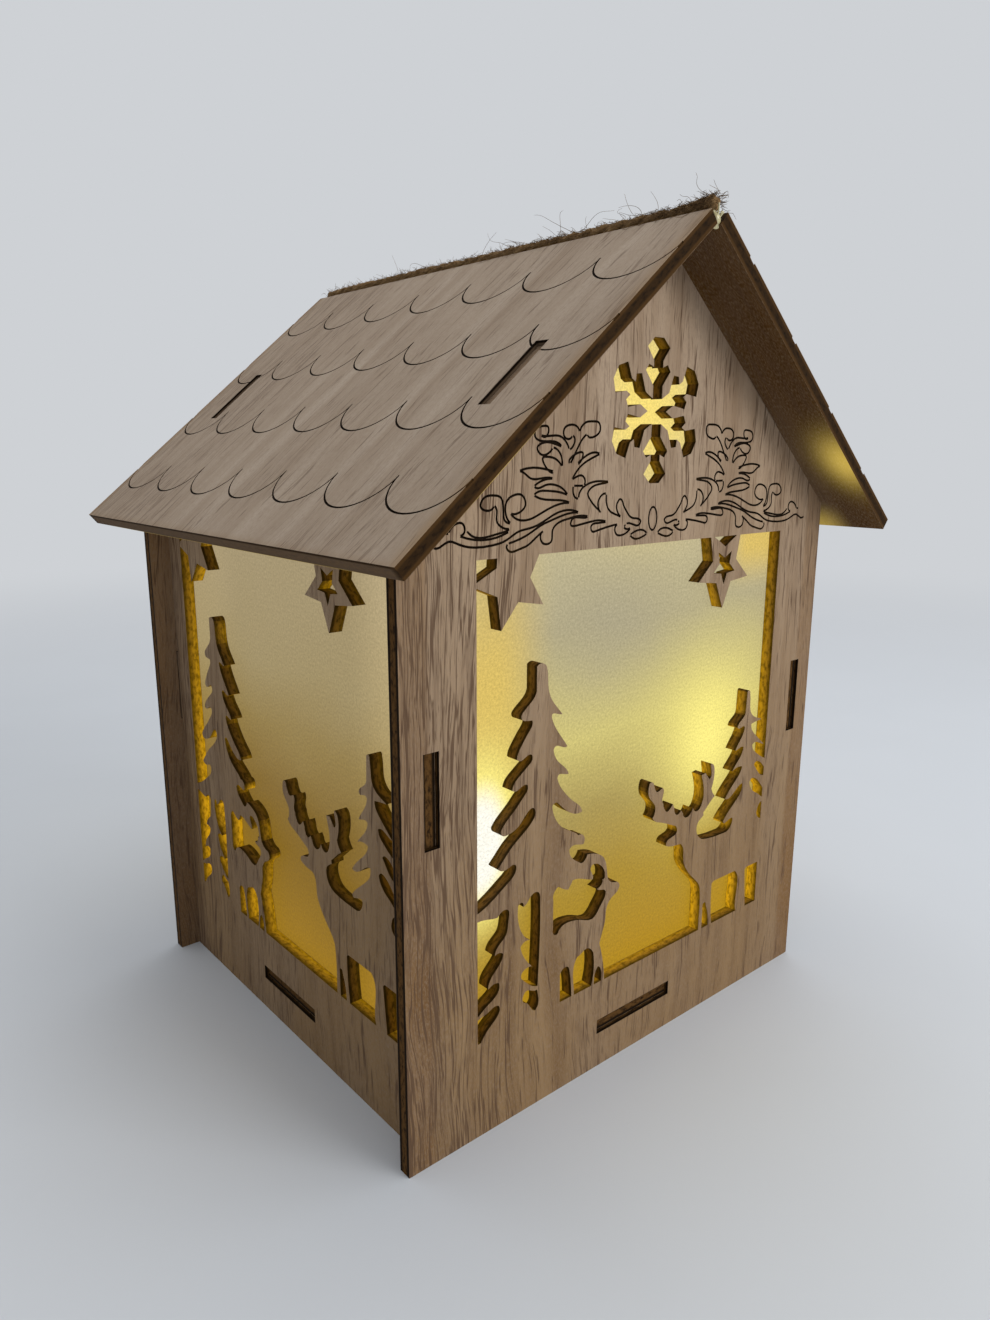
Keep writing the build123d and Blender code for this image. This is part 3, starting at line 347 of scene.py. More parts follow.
def veneer_layers(paint, across, along, seed):
    """The grain as noises from 0 to 1, by name. The grain lines drift slowly, and on them lie
    wide bands, soft streaks, thin lines, what breaks those off, pores and fibres."""
    drift = paint.noise(paint.point(across * 0.03, along * 0.011, seed), detail=3.0)
    bent = across + (drift - 0.5) * 14.0
    layers = {}
    for name, (fine, stretch, shift, detail, roughness) in GRAINS.items():
        place = paint.point(bent * fine, along * stretch, seed + shift)
        layers[name] = paint.noise(place, detail=detail, roughness=roughness)
    layers["cloud"] = paint.noise(paint.point(across * 0.045, along * 0.02, seed + CLOUD_SEED), detail=2.0)
    return layers


def roof_light(paint, here):
    """Light under a roof sheet: the lamp's own light inside the walls, a patch of light in front
    of each gable and a strip along the eaves."""
    side = abs(paint.along(here, (1, 0, 0)) / MM)
    away = abs(paint.along(here, (0, 1, 0)) / MM)
    inside = (1 - side.rise(*INSIDE_X)) * (1 - away.rise(*INSIDE_Y))
    patch = side.hill(*PATCH_X) * away.hill(*PATCH_Y)
    strip = side.rise(*STRIP_X) * (1 - away.rise(*STRIP_Y))
    return inside * paint.lamplight(here, ROOF_REACH) + patch + strip * 0.6


def rim_light(paint, here, across, along, depth):
    """The lamp's light on the rims of the window and of the snowflake, stronger nearer the lamp."""
    window = (1 - abs(across).rise(*WINDOW_SIDE)) * along.rise(*WINDOW_FOOT) * (1 - along.rise(*WINDOW_HEAD))
    star = (1 - abs(across).rise(*STAR_SIDE)) * along.rise(*STAR_FOOT)
    nearer = depth.rise(0.0, PLY / MM * 0.8) * 0.75 + 0.25
    return (window + star * 0.5) * nearer * (paint.lamplight(here, RIM_REACH) + 0.035)


def plywood_finish(name, axes, wood, seed, streaked, roof):
    """Veneer with dark streaks along the grain, burnt layers wherever a cut goes in, and the
    lamp's light on the rims of the openings or under the eaves."""
    across_axis, along_axis, out_axis, face = axes
    paint = Finish(bpy.data.materials.new(name))
    here = paint.place()
    across = paint.along(here, across_axis) / MM
    along = paint.along(here, along_axis) / MM
    height = paint.along(here, UP) / MM
    depth = (face - paint.along(here, out_axis)) / MM
    ply = PLY / MM
    inner = depth.rise(ply - 0.1, ply - 0.02)
    cut = depth.rise(*CUT_DEPTH) * (1 - inner)

    # Where each mark of the grain shows. A thin line is where a slow noise passes its middle.
    grain = veneer_layers(paint, across, along, seed)
    cloud = grain["cloud"]
    one_side = (0 - across).rise(*DARKER_SIDE)
    streaks = (grain["streaks"] + (cloud - 0.5) * 0.16 + one_side * 0.07).rise(0.56, 0.68) * streaked
    broken = (grain["breaks"] + (cloud - 0.5) * 0.2 + one_side * 0.19).rise(0.52, 0.6) * streaked
    lines = (1 - abs(grain["lines"] - 0.5).rise(0.012, 0.042)) * broken
    pores = grain["pores"].rise(0.53, 0.67) * (cloud.rise(0.38, 0.62) * 0.65 + 0.35) * streaked

    spread = 0.3 if roof else 0.18
    veneer = paint.ramp(
        grain["bands"],
        ((0.5 - spread, wood.light_colour), (0.5, wood.face_colour), (0.5 + spread, wood.dark_colour)),
    )
    if roof:
        # Painted shade, with a little of the back veneer's own darker colour: the roof's underside is made
        # darker and browner
        veneer = paint.mix(inner, veneer, wood.underside_painted_shade, "MULTIPLY")
        smoke = abs(across).rise(*ROOF_BORDER).largest(along.rise(*EAVE_BORDER))
        veneer = paint.mix(smoke * (1 - inner) * 0.6, veneer, wood.smoke_tone, "MULTIPLY")
    else:
        # Painted shade: the walls are made darker and browner towards their foot, and only warmer higher up
        tone = paint.mix(height.rise(*FOOT_SHADE_HEIGHT), wood.foot_painted_shade, wood.wall_tone)
        veneer = paint.mix(1.0, veneer, tone, "MULTIPLY")
        veneer = paint.mix(abs(across).rise(*WALL_BORDER) * 0.6, veneer, wood.smoke_tone, "MULTIPLY")
    for amount, darker in (
        (cloud.rise(0.4, 0.66) * 0.3, wood.dark_colour),
        (grain["fibres"].rise(0.4, 0.7) * 0.45, wood.dark_colour),
        (pores * (one_side * 0.25 + 0.55) * wood.grain, wood.pore_colour),
        (streaks * 0.34 * wood.grain, wood.pore_colour),
        (lines * 0.85 * wood.grain, wood.pore_colour),
    ):
        veneer = paint.mix(amount, veneer, darker)

    # Cut edges: the outer layers are charred, and the middle layer shows its fibres
    soot = paint.noise(paint.point(across * 0.7, along * 0.7, depth * 1.6), detail=3.0, roughness=0.6)
    middle = 1 - abs(depth - ply / 2).rise(*MIDDLE_LAYER)
    shown = 0.85 - smoke * 0.67 if roof else 0.85
    edge = paint.mix(middle * soot.rise(0.25, 0.6) * shown, wood.char_colour, wood.singed_colour)
    if roof:
        # The sheet's borders are black in the middle and brown at the rims
        edge = paint.mix(smoke * (1 - middle) * 0.45, edge, wood.singed_colour)
        bare = 1 - smoke
    else:
        bare = height.rise(*TAB_HEIGHT) * abs(across).rise(*TAB_SIDE)
    # Deeper than the engraving, the roofs' slots and the tabs in them are brown, not black
    bare = bare * depth.rise(*ENGRAVED_DEPTH)
    edge = paint.mix(bare * 0.7, edge, wood.singed_colour)
    edge = paint.mix(bare * 0.3, edge, wood.face_colour)

    if roof:
        light = inner * roof_light(paint, here)
        lit_colour = wood.eave_colour
    else:
        light = cut * rim_light(paint, here, across, along, depth)
        light = light * (soot.rise(0.3, 0.64) * 0.7 + 0.5) * wood.rim_light
        lit_colour = wood.lit_colour
    relief = (1 - lines) * 0.6 + (1 - pores) * 0.4 + grain["fibres"] * 0.3 + soot * cut * 0.5
    return paint.surface(
        Base_Color=paint.mix(cut, veneer, edge),
        Roughness=0.62 + grain["fibres"] * 0.16 + cut * 0.1,
        Normal=paint.bump(relief, 0.00012, 0.55),
        Specular_IOR_Level=0.06,
        Emission_Strength=1.0,
        Emission_Color=paint.mix(light, BLACK, lit_colour),
    )


def frosted_finish(name, across_axis, gable, glow):
    """Clouded sheet with the lamp's light in it: amber low down and pale high up. A sheet in a
    gable has two brighter places beside the lamp, and one behind the snowflake."""
    paint = Finish(bpy.data.materials.new(name))
    here = paint.place()
    across = paint.along(here, across_axis) / MM
    height = paint.along(here, UP) / MM
    grain = paint.noise(paint.point(across * 1.9, height * 1.9, 0.0), detail=3.0, roughness=0.75)
    brushed = paint.noise(paint.point(across * 0.3, height * 2.6, 0.0), detail=3.0, roughness=0.6)
    cloud = paint.noise(paint.point(across * 0.05, height * 0.05, 4.0), detail=2.0)
    rise = (height + (cloud - 0.5) * 10) / SHEET_SCALE

    def spot(place):
        return across.hill(*place[0]) * height.hill(*place[1])

    if gable:
        light = paint.ramp(
            rise,
            (
                (0.15, glow.low_colour), (0.27, glow.amber_colour), (0.38, glow.middle_colour),
                (0.49, glow.warm_colour), (0.64, glow.high_colour), (0.74, glow.head_colour),
            ),
        )
        light = paint.mix(spot(HAZE) * 0.6, light, glow.haze_colour)
        edge = (0 - across).rise(22.0, 38.0) * height.hill(86.0, 26.0)
        corner = across.rise(26.0, 36.0) * height.rise(97.0, 108.0)
        light = paint.mix((edge + corner) * 0.85, light, glow.gold_colour)
        light = paint.mix(spot(BESIDE_FLAME), light, glow.bright_colour)
        light = paint.mix(spot(BEHIND_STAR), light, glow.pane_colour)
        halo = spot(HALO)
        light = paint.mix(halo.rise(0.0, 0.6), light, glow.bright_colour)
        light = paint.mix(halo.rise(0.4, 0.85), light, glow.hot_colour)
        share = 1.0
    else:
        light = paint.ramp(
            rise,
            (
                (0.15, glow.side_low_colour), (0.28, glow.side_amber_colour), (0.36, glow.side_middle_colour),
                (0.46, glow.side_warm_colour), (0.56, glow.side_high_colour), (0.72, glow.side_head_colour),
            ),
        )
        share = 1.0 + across.rise(24.0, 44.0) * 0.34 + (0 - across).rise(18.0, 34.0) * 0.1
    speckle = (0.98 + (grain - 0.5) * 0.95 + (brushed - 0.5) * 0.1) * share
    light = paint.mix(1.0, light, paint.point(speckle, speckle, speckle), "MULTIPLY")
    return paint.surface(
        Base_Color=glow.sheet_colour,
        Roughness=0.5 + grain * 0.2,
        Normal=paint.bump(grain + brushed * 0.4, 0.00008, 0.4),
        Specular_IOR_Level=0.1,
        Emission_Color=light,
        Emission_Strength=glow.strength,
    )


def jute_finish(name, twine):
    """Brown fibre: darker and lighter fibres along the lay, with darker patches."""
    paint = Finish(bpy.data.materials.new(name))
    own = paint.node("ShaderNodeTexCoord", {}, {}, "UV")
    here = paint.place()
    laid = paint.node("ShaderNodeMapping", {}, {"Vector": own, "Scale": (75.0, 22.0, 1.0)})
    fibres = paint.noise(laid, detail=3.0, roughness=0.65)
    patches = paint.noise(here, scale=180.0, detail=2.0)
    colour = paint.ramp(
        fibres, ((0.3, twine.dark_colour), (0.52, twine.fibre_colour), (0.72, twine.light_colour))
    )
    colour = paint.mix(patches.rise(0.45, 0.7) * 0.45, colour, twine.dark_colour)
    return paint.surface(
        Base_Color=colour, Roughness=0.86 + fibres * 0.1, Normal=paint.bump(fibres, 0.0002, 0.8),
        Specular_IOR_Level=0.12,
    )


def glue_finish(name, glue_colour):
    """Set hot glue: pale, clouded and glossy, with slow waves."""
    paint = Finish(bpy.data.materials.new(name))
    waves = paint.noise(paint.place(), scale=420.0, detail=2.0)
    colour = paint.mix(waves.rise(0.35, 0.7), glue_colour, srgb(206, 196, 152))
    return paint.surface(
        Base_Color=colour, Roughness=0.18 + waves * 0.14, Normal=paint.bump(waves, 0.0004, 0.5),
        Coat_Weight=0.4, Coat_Roughness=0.1,
    )


def moulded_finish(name, colour, shade, gloss):
    """Moulded plastic: a fine spark-eroded grain and a slight unevenness of colour."""
    paint = Finish(bpy.data.materials.new(name))
    here = paint.place()
    grain = paint.noise(here, scale=3600.0, detail=2.0)
    cloud = paint.noise(here, scale=150.0, detail=2.0)
    return paint.surface(
        Base_Color=paint.mix(cloud.rise(0.4, 0.65) * 0.5, colour, shade),
        Roughness=gloss + grain * 0.12, Normal=paint.bump(grain, 0.00003, 0.5),
    )


def flame_finish(name, tealight):
    """Clouded flame, brightest round the light source and paler to the tip."""
    paint = Finish(bpy.data.materials.new(name))
    here = paint.place()
    height = paint.along(here, UP) / MM
    cloud = paint.noise(here, scale=320.0, detail=3.0)
    amount = (height + (cloud - 0.5) * 5.0 - 12.0) / 24.0
    light = paint.ramp(
        amount, ((0.0, tealight.base_glow), (0.35, tealight.heart_glow), (1.0, tealight.tip_glow))
    )
    return paint.surface(
        Base_Color=tealight.tip_glow, Emission_Color=light, Emission_Strength=tealight.glow_strength,
        Roughness=0.45 + cloud * 0.15, Normal=paint.bump(cloud, 0.0001, 0.4),
    )


def metal_finish(name, colour, shade, roughness, ring=False):
    """Sheet metal with fine turned or drawn lines."""
    paint = Finish(bpy.data.materials.new(name))
    here = paint.place()
    if ring:
        lines = paint.noise(paint.point(paint.length(here) * 9000.0, 0.0, 0.0), detail=3.0)
    else:
        drawn = paint.node("ShaderNodeMapping", {}, {"Vector": here, "Scale": (300.0, 9000.0, 300.0)})
        lines = paint.noise(drawn, detail=3.0)
    return paint.surface(
        Base_Color=paint.mix(lines.rise(0.3, 0.7) * 0.6, colour, shade), Metallic=1.0,
        Roughness=roughness + lines * 0.15, Normal=paint.bump(lines, 0.00002, 0.4),
    )


def colour_setting(name, description, red, green, blue):
    """A colour property whose default is given from 0 to 255."""
    return bpy.props.FloatVectorProperty(
        name=name, description=description, default=srgb(red, green, blue),
        subtype="COLOR", size=4, min=0.0, max=1.0,
    )


def number_setting(name, description, default, most, least=0.0, unit="NONE", subtype="NONE"):
    """A number property. Lengths and powers say so in their unit."""
    return bpy.props.FloatProperty(
        name=name, description=description, default=default,
        min=least, max=most, unit=unit, subtype=subtype,
    )


class PlywoodSettings(bpy.types.PropertyGroup):
    """Colours of the plywood's faces and of its cut edges."""

    face_colour: colour_setting("Face", "Main colour of the veneer", 168, 150, 131)
    light_colour: colour_setting("Light grain", "Palest bands of the veneer", 180, 163, 145)
    dark_colour: colour_setting("Dark grain", "Darkest bands of the veneer", 146, 126, 106)
    pore_colour: colour_setting("Pores", "Dark streaks along the grain", 92, 70, 53)
    wall_tone: colour_setting("Wall tone", "What the upper walls' veneer is warmer by", 255, 246, 234)
    # Painted shade: darker and browner veneer at the walls' foot
    foot_painted_shade: colour_setting("Foot painted shade", "What the walls' veneer is browner by at its foot", 208, 186, 150)
    # Painted shade: the roof's underside is darker and browner
    underside_painted_shade: colour_setting("Underside painted shade", "What the roof is darker by underneath", 132, 100, 36)
    smoke_tone: colour_setting("Smoke tone", "What the veneer is browner by along its borders", 206, 178, 128)
    char_colour: colour_setting("Char", "Outer layers of a laser-cut edge", 26, 16, 6)
    singed_colour: colour_setting("Singed wood", "Middle layer of a laser-cut edge", 98, 68, 34)
    lit_colour: colour_setting("Lamplight", "Colour of the lamp's light on cut wood", 255, 190, 24)
    eave_colour: colour_setting("Eave light", "Colour of the lamp's light under the roof", 186, 160, 68)
    grain: number_setting("Grain", "How strongly pores and streaks show", 1.0, 2.0, subtype="FACTOR")
    rim_light: number_setting("Lamplight strength", "How strongly the lamp lights cut wood", 1.2, 5.0)


class GlowSettings(bpy.types.PropertyGroup):
    """Colours of the light in the frosted sheets."""

    sheet_colour: colour_setting("Sheet", "Colour of the sheet when the lamp is off", 42, 37, 20)
    low_colour: colour_setting("Foot", "Light at the foot of a gable's sheet", 174, 134, 24)
    amber_colour: colour_setting("Low", "Light beside the flame", 168, 136, 42)
    middle_colour: colour_setting("Middle", "Light above the flame", 168, 148, 82)
    warm_colour: colour_setting("Upper middle", "Light half-way up", 207, 194, 118)
    high_colour: colour_setting("High", "Light high up in the sheet", 177, 167, 131)
    head_colour: colour_setting("Head", "Light at the head of the window", 189, 179, 144)
    haze_colour: colour_setting("Haze", "Cool place above the middle of the sheet", 164, 156, 132)
    gold_colour: colour_setting("Gold", "Golden borders of the sheet", 222, 190, 92)
    pane_colour: colour_setting("Pane", "Light behind the snowflake", 248, 222, 120)
    bright_colour: colour_setting("Bright", "Brighter places of the sheet", 254, 240, 134)
    hot_colour: colour_setting("Hot", "Brightest place of the sheet", 255, 253, 240)
    side_low_colour: colour_setting("Side foot", "Light at the foot of a side sheet", 154, 117, 30)
    side_amber_colour: colour_setting("Side low", "Light beside the flame in a side sheet", 132, 101, 32)
    side_middle_colour: colour_setting("Side middle", "Light above the flame in a side sheet", 131, 104, 48)
    side_warm_colour: colour_setting("Side upper middle", "Light half-way up a side sheet", 146, 124, 73)
    side_high_colour: colour_setting("Side high", "Light high up in a side sheet", 159, 142, 102)
    side_head_colour: colour_setting("Side head", "Light at the head of a side window", 164, 148, 114)
    strength: number_setting("Strength", "How strongly the sheets shine", 1.0, 5.0)


class TwineSettings(bpy.types.PropertyGroup):
    """Sizes and colours of the ridge twine."""

    strands: bpy.props.IntProperty(
        name="Strands", description="Strands laid together", default=3, min=2, max=5
    )
    radius: number_setting("Radius", "Radius of the whole twine", 1.55 * MM, 4 * MM, 0.5 * MM, "LENGTH")
    pitch: number_setting("Pitch", "Length of one turn of the lay", 13 * MM, 30 * MM, 3 * MM, "LENGTH")
    fuzz: bpy.props.IntProperty(
        name="Fuzz", description="Short fibres that lie along the twine", default=3600, min=0, max=5000
    )
    hairs: bpy.props.IntProperty(
        name="Loose fibres", description="Long fibres that stand off the twine", default=110, min=0, max=1000
    )
    fuzz_length: number_setting("Fuzz length", "Longest short fibre", 3.6 * MM, 10 * MM, 1 * MM, "LENGTH")
    hair_length: number_setting("Fibre length", "Longest loose fibre", 15 * MM, 40 * MM, 1 * MM, "LENGTH")
    fibre_colour: colour_setting("Fibre", "Main colour of the twine", 130, 101, 66)
    light_colour: colour_setting("Light fibre", "Single pale fibres", 170, 140, 100)
    dark_colour: colour_setting("Dark fibre", "Grooves of the lay", 78, 54, 32)


class TealightSettings(bpy.types.PropertyGroup):
    """Colours of the LED tealight."""

    base_glow: colour_setting("Flame foot", "Light at the foot of the flame", 255, 170, 70)
    heart_glow: colour_setting("Flame heart", "Light round the light source", 255, 226, 150)
    tip_glow: colour_setting("Flame tip", "Light at the tip of the flame", 255, 206, 120)
    glow_strength: number_setting("Strength", "How strongly the flame shines", 1.0, 10.0)


class StudioSettings(bpy.types.PropertyGroup):
    """Light and ground round the house."""

    floor_colour: colour_setting("Ground", "Colour of the ground and the backdrop", 206, 209, 213)
    sky_colour: colour_setting("Sky", "Colour of the light from all round", 244, 249, 255)
    sky_strength: number_setting("Ambient", "Strength of the light from all round", 0.5, 2.0)
    key_power: number_setting("Top lamp", "Power of the large lamp overhead", 4.4, 100.0, unit="POWER")
    fill_power: number_setting("Front lamp", "Power of the lamp in front", 5.4, 100.0, unit="POWER")


class TEALIGHT_HOUSE_OT_plywood(bpy.types.Operator):
    """Gives walls, floor and roof their veneer and burnt edges"""

    bl_idname = "tealight_house.plywood"
    bl_label = "Plywood"

    def execute(self, context):
        wood = context.scene.tealight_house_plywood
        for number, (node, axes) in enumerate(WALLS.items()):
            wear(node, plywood_finish(f"plywood_{node}", axes, wood, 10.0 * number, 1.0, False))
        for number, (node, axes) in enumerate(ROOFS.items()):
            wear(node, plywood_finish(f"plywood_{node}", axes, wood, 10.0 * number + 57.0, 0.5, True))
        return {"FINISHED"}


class TEALIGHT_HOUSE_OT_sheets(bpy.types.Operator):
    """Gives the frosted sheets their grain and the lamp's light"""

    bl_idname = "tealight_house.sheets"
    bl_label = "Frosted sheets"

    def execute(self, context):
        glow = context.scene.tealight_house_glow
        for node, (across_axis, gable) in SHEETS.items():
            wear(node, frosted_finish(f"frosted_{node}", across_axis, gable, glow))
        return {"FINISHED"}


class TEALIGHT_HOUSE_OT_twine(bpy.types.Operator):
    """Lays the strands of the ridge twine and its loose fibres"""

    bl_idname = "tealight_house.twine"
    bl_label = "Ridge twine"

    def execute(self, context):
        twine = context.scene.tealight_house_twine
        low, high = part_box("ridge_twine")
        jute = jute_finish("jute", twine)
        strands = put_mesh("twine_strands", laid_strands(low, high, twine), jute, True)
        skin = (low, high, twine.radius)
        fuzz = loose_fibres(*skin, twine.fuzz, twine.fuzz_length, rows=7, lean=3.2, bend=0.55, seed=12)
        fuzz = put_mesh("twine_fuzz", fuzz, jute, True, FIBRE_UV)
        hairs = loose_fibres(*skin, twine.hairs, twine.hair_length, rows=26, lean=4.2, bend=0.6, seed=31)
        hairs = put_mesh("twine_fibres", hairs, jute, True, FIBRE_UV)
        for made in (strands, fuzz, hairs):
            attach(made, HOUSE)
        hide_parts("ridge_twine")
        return {"FINISHED"}


def ridge_line(low, radius, along):
    """Heights of the twine's middle: it lies on the floor of its groove, and its cut front end
    stands up out of the groove in a falling exponential."""
    return low[2] + radius + 1.1 * MM * np.exp((low[1] - along) / (4.5 * MM))


def laid_strands(low, high, twine):
    """Strands as helices round the ridge line: the angle grows evenly along the ridge, the
    strand's own radius swells and shrinks a little, and both ends close to a point."""
    rows = 520
    along = np.linspace(low[1], high[1], rows)
    wander = 0.22 * MM * np.sin(along / MM * 0.21 + 1.0) + 0.14 * MM * np.sin(along / MM * 0.53)
    lift = ridge_line(low, twine.radius, along)
    strand_radius = twine.radius * 0.56
    reach = twine.radius - strand_radius
    start = np.arange(twine.strands)[:, None] * 2 * pi / twine.strands
    angle = start + along[None, :] / twine.pitch * 2 * pi
    paths = np.stack(
        (wander + reach * np.cos(angle), np.broadcast_to(along, angle.shape), lift + reach * np.sin(angle)),
        axis=-1,
    )
    share = np.linspace(0, 1, rows)
    close = np.sqrt(np.clip(np.minimum(share, 1 - share) * rows / 3.0, 0.0, 1.0))
    swell = 1 + 0.12 * np.sin(along / MM * 0.9 + start * 2) + 0.07 * np.sin(along / MM * 2.3 + start * 5)
    return tube_round(paths, strand_radius * swell * close, 10)


def loose_fibres(low, high, radius, count, longest, rows, lean, bend, seed):
    """Thin hairs: each leaves the twine's skin at a random angle and goes on in small steps. Its
    heading is a fixed direction plus two slow waves. Lean says how far it lies along the ridge
    and bend how far the waves swing it. More of them stand near the front end."""
    dice = np.random.default_rng(seed)
    turn = dice.uniform(-0.2 * pi, 1.2 * pi, count)
    out = np.stack((np.cos(turn), np.zeros(count), np.sin(turn)), axis=-1)
    foot = out * radius * 0.86
    foot[:, 1] = low[1] + 0.4 * MM + (high[1] - low[1] - MM) * dice.beta(0.75, 1.2, count)
    foot[:, 2] += ridge_line(low, radius, foot[:, 1])
    length = longest * (0.2 + 0.8 * dice.beta(1.3, 3.0, count))
    sideways = dice.normal(0, 0.3, count)
    lying = dice.choice((-1.0, 1.0), count) * dice.uniform(0.3 * lean, lean, count)
    heading = out + np.stack((sideways, lying, dice.normal(0, 0.3, count)), axis=-1)
    heading[:, 2] *= 0.5
    share = np.linspace(0, 1, rows)[None, :, None]
    heading = heading / np.linalg.norm(heading, axis=-1, keepdims=True)
    each, line = (count, 1, 3), (count, 1, 1)
    wave = dice.normal(0, bend, each) * np.sin(share * dice.uniform(2, 7, line))
    wave = wave + dice.normal(0, 0.7 * bend, each) * (1 - np.cos(share * dice.uniform(3, 9, line)))
    steps = heading[:, None] + wave * np.array((1.0, 1.0, 0.75))
    steps /= np.linalg.norm(steps, axis=-1, keepdims=True)
    paths = foot[:, None] + np.cumsum(steps, axis=1) * (length / rows)[:, None, None]
    roof = RIDGE_HEIGHT + PLY / cos(SLOPE) - np.abs(paths[..., 0]) * np.tan(SLOPE) + 0.1 * MM
    paths[..., 2] = np.maximum(paths[..., 2], roof)
    paths[..., 1] = np.clip(paths[..., 1], low[1] - MM, high[1] + MM)
    radii = np.full((count, rows), 0.05 * MM) * np.linspace(1.1, 0.45, rows)
    radii[:, (0, -1)] = 0.0
    return tube_round(paths, radii, 3)


def glue_lump(low, high):
    """A lump of set glue: a ball whose radius swells and shrinks with two slow waves of both
    angles, drawn out downwards, with both of its poles closed."""
    middle = (np.array(low) + np.array(high)) / 2
    sides = 24
    tall, wide = np.meshgrid(np.linspace(0, pi, 19), -np.arange(sides) * 2 * pi / sides, indexing="ij")
    swell = 1 + 0.16 * np.sin(2 * wide + 3 * tall) * np.sin(tall)
    swell += 0.1 * np.sin(3 * wide - 1) * np.sin(2 * tall)
    reach = 1.25 * MM * swell
    round_x, round_y = np.sin(tall) * np.cos(wide), -np.sin(tall) * np.sin(wide)
    lump = np.stack((reach * round_x, reach * round_y * 0.8, -reach * np.cos(tall) * 1.2), axis=-1)
    lump[..., 0] += 0.35 * MM * np.sin(tall * 2)
    return (lump + middle + np.array((0.0, 0.5 * MM, 0.4 * MM)))[None]


def glue_threads(low, high):
    """Three threads drawn from the lump to the twine: each is a parabola between its two ends."""
    middle = (np.array(low) + np.array(high)) / 2
    share = np.linspace(0, 1, 10)[None, :, None]
    ends = np.array(((0.9, -0.9, 1.6), (-0.4, -0.7, 2.9), (1.3, -0.3, 2.1))) * MM
    paths = middle + ends[:, None] * share + np.array((0.0, -0.6, 0.5)) * MM * (share - share**2)
    radii = np.full((3, 10), 0.13 * MM) * np.linspace(1.6, 1.0, 10)
    radii[:, (0, -1)] = 0.0
    return tube_round(paths, radii, 6)


class TEALIGHT_HOUSE_OT_glue(bpy.types.Operator):
    """Gives the glue its clouded gloss and draws out the lump at the front"""

    bl_idname = "tealight_house.glue"
    bl_label = "Glue"

    def execute(self, context):
        glue = glue_finish("hot_glue", srgb(172, 158, 112))
        wear("ridge_glue", glue)
        low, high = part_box("front_glue_drop")
        lump = put_mesh("glue_lump", glue_lump(low, high), glue, True)
        threads = put_mesh("glue_threads", glue_threads(low, high), glue, True)
        for made in (lump, threads):
            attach(made, HOUSE)
        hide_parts("front_glue_drop")
        return {"FINISHED"}


class TEALIGHT_HOUSE_OT_tealight(bpy.types.Operator):
    """Gives the LED tealight its plastics and metals"""

    bl_idname = "tealight_house.tealight"
    bl_label = "Tealight"

    def execute(self, context):
        white = moulded_finish("tealight_plastic", srgb(236, 231, 219), srgb(222, 214, 198), 0.32)
        for node in ("tealight_housing", "base_cap", "battery_door"):
            wear(node, white)
        wear("switch_knob", moulded_finish("knob_plastic", srgb(34, 33, 32), srgb(52, 50, 48), 0.4))
        wear("flame_lens", flame_finish("flame", context.scene.tealight_house_tealight))
        wear("led", moulded_finish("led_epoxy", srgb(250, 222, 140), srgb(240, 200, 100), 0.12))
        wear("coin_cell", metal_finish("cell_steel", srgb(196, 196, 198), srgb(150, 150, 154), 0.22, True))
        strip = metal_finish("contact_brass", srgb(206, 178, 112), srgb(160, 130, 70), 0.25)
        for node in ("top_contact", "side_contact"):
            wear(node, strip)
        return {"FINISHED"}


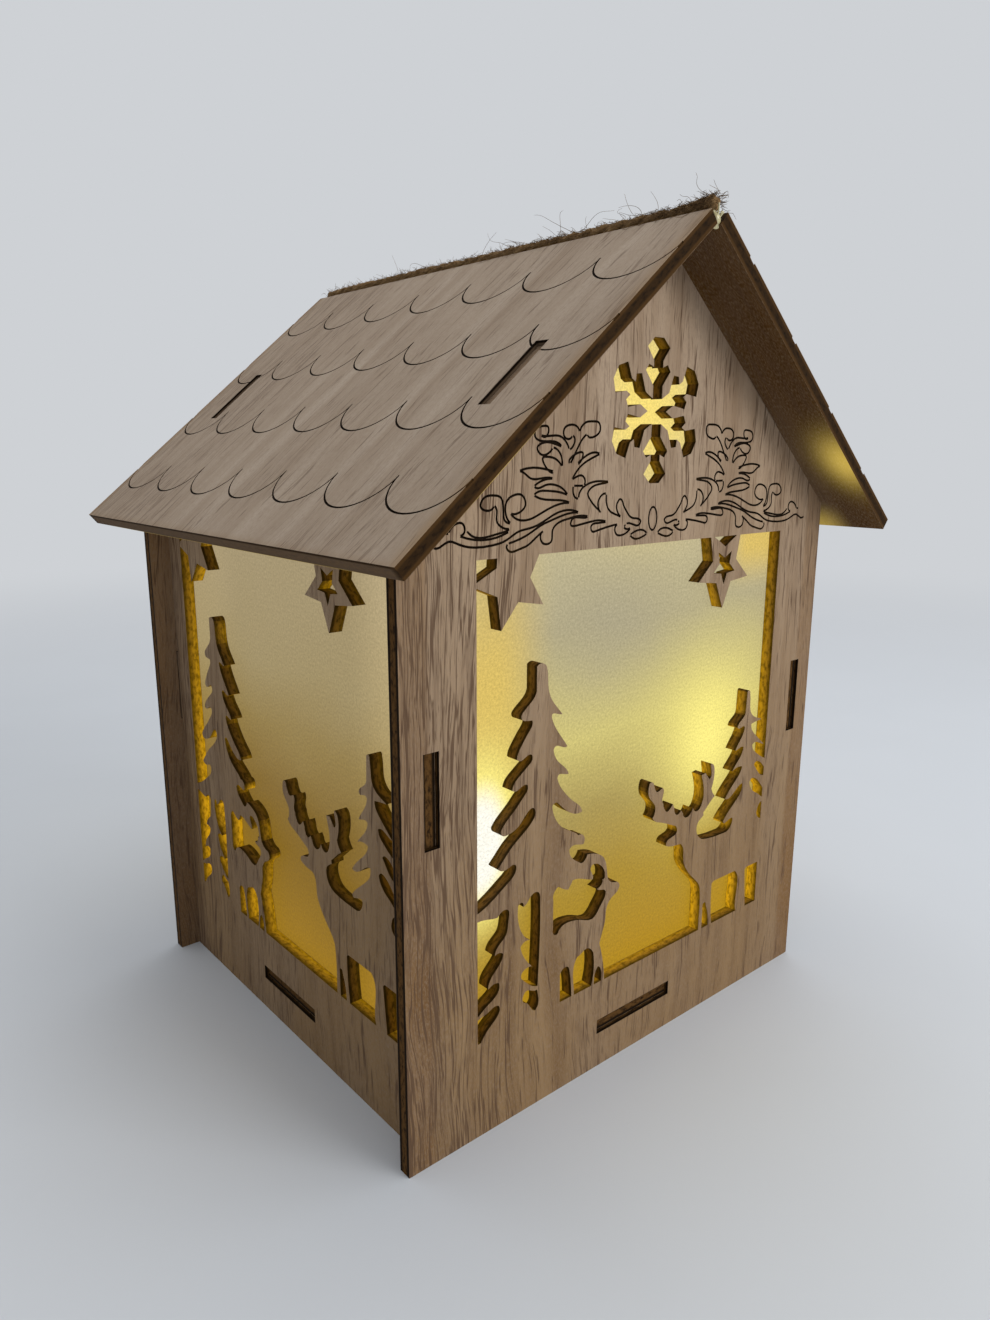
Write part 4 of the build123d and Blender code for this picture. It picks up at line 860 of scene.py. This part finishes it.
class TEALIGHT_HOUSE_OT_stage(bpy.types.Operator):
    """Sets the ground, the lamps, the world and the camera"""

    bl_idname = "tealight_house.stage"
    bl_label = "Studio"

    def execute(self, context):
        scene = context.scene
        studio = scene.tealight_house_studio
        scene.view_settings.view_transform = "Standard"
        ground = Finish(bpy.data.materials.new("ground"))
        place = ground.place()
        shade = ground.noise(place, scale=14.0, detail=3.0)
        colour = ground.mix(shade.rise(0.4, 0.6) * 0.06, studio.floor_colour, srgb(190, 193, 197))
        lit = ground.node("ShaderNodeBsdfPrincipled", {}, {"Base Color": colour, "Roughness": 0.8})
        far = ground.node("ShaderNodeEmission", {}, {"Color": studio.floor_colour})
        away = ground.length(place).rise(0.2, 0.9)
        seen = ground.node("ShaderNodeLightPath", {}, {}, "Is Camera Ray")
        both = ground.node("ShaderNodeMixShader", {}, {0: away * seen, 1: lit, 2: far})
        ground.node("ShaderNodeOutputMaterial", {}, {"Surface": both}, None)
        reach = np.linspace(-GROUND_REACH, GROUND_REACH, 7)
        low, high = np.meshgrid(reach, reach)
        grid = np.stack((low, high, np.zeros_like(low)), axis=-1)[None]
        put_mesh("ground", grid, ground.holder, False)

        sky = Finish(bpy.data.worlds.new("studio_world"))
        scene.world = sky.holder
        seen = 0.0
        for ray in ("Is Camera Ray", "Is Glossy Ray", "Is Transmission Ray"):
            seen = sky.node("ShaderNodeLightPath", {}, {}, ray).largest(seen)
        inputs = {"Color": studio.sky_colour, "Strength": studio.sky_strength}
        soft = sky.node("ShaderNodeBackground", {}, inputs)
        pale = sky.node("ShaderNodeBackground", {}, {"Color": studio.floor_colour})
        both = sky.node("ShaderNodeMixShader", {}, {0: seen, 1: soft, 2: pale})
        sky.node("ShaderNodeOutputWorld", {}, {"Surface": both}, None)

        for name, place, turn, power, width in (
            ("top_lamp", (0.15, 0.0, 0.95), (0.0, radians(9), 0.0), studio.key_power, 0.9),
            ("front_lamp", (0.35, -0.95, 0.4), (radians(71), 0.0, radians(20)), studio.fill_power, 0.6),
        ):
            lamp = bpy.data.lights.new(name, "AREA")
            lamp.energy = power
            lamp.size = width
            held = bpy.data.objects.new(name, lamp)
            held.location = place
            held.rotation_euler = turn
            scene.collection.objects.link(held)

        camera = bpy.data.cameras.new("camera")
        camera.sensor_width = CAMERA_SENSOR
        camera.lens = CAMERA_LENS
        camera.clip_start = 0.01
        stand = bpy.data.objects.new("camera", camera)
        stand.location = CAMERA_PLACE
        stand.rotation_euler = [radians(angle) for angle in CAMERA_TURN]
        scene.collection.objects.link(stand)
        scene.camera = stand
        return {"FINISHED"}


class TEALIGHT_HOUSE_PT_panel(bpy.types.Panel):
    """Lists the pieces and their settings"""

    bl_label = "Tealight House"
    bl_idname = "TEALIGHT_HOUSE_PT_panel"
    bl_space_type = "VIEW_3D"
    bl_region_type = "UI"
    bl_category = "Tealight House"

    def draw(self, context):
        for key, operator in STEPS:
            column = self.layout.column(align=True)
            column.operator(operator)
            group = getattr(context.scene, f"tealight_house_{key}", None)
            if group:
                for name in group.bl_rna.properties.keys():
                    if name not in ("rna_type", "name"):
                        column.prop(group, name)


SETTINGS = {
    "plywood": PlywoodSettings,
    "glow": GlowSettings,
    "twine": TwineSettings,
    "tealight": TealightSettings,
    "studio": StudioSettings,
}
STEPS = (
    ("plywood", "tealight_house.plywood"),
    ("glow", "tealight_house.sheets"),
    ("twine", "tealight_house.twine"),
    ("glue", "tealight_house.glue"),
    ("tealight", "tealight_house.tealight"),
    ("studio", "tealight_house.stage"),
)
CLASSES = (
    *SETTINGS.values(),
    TEALIGHT_HOUSE_OT_plywood,
    TEALIGHT_HOUSE_OT_sheets,
    TEALIGHT_HOUSE_OT_twine,
    TEALIGHT_HOUSE_OT_glue,
    TEALIGHT_HOUSE_OT_tealight,
    TEALIGHT_HOUSE_OT_stage,
    TEALIGHT_HOUSE_PT_panel,
)


def register():
    for made in CLASSES:
        bpy.utils.register_class(made)
    for key, group in SETTINGS.items():
        setattr(bpy.types.Scene, f"tealight_house_{key}", bpy.props.PointerProperty(type=group))


def unregister():
    for key in SETTINGS:
        delattr(bpy.types.Scene, f"tealight_house_{key}")
    for made in reversed(CLASSES):
        bpy.utils.unregister_class(made)


def main():
    register()
    for _, operator in STEPS:
        group, name = operator.split(".")
        getattr(getattr(bpy.ops, group), name)()


if __name__ == "__main__":
    main()
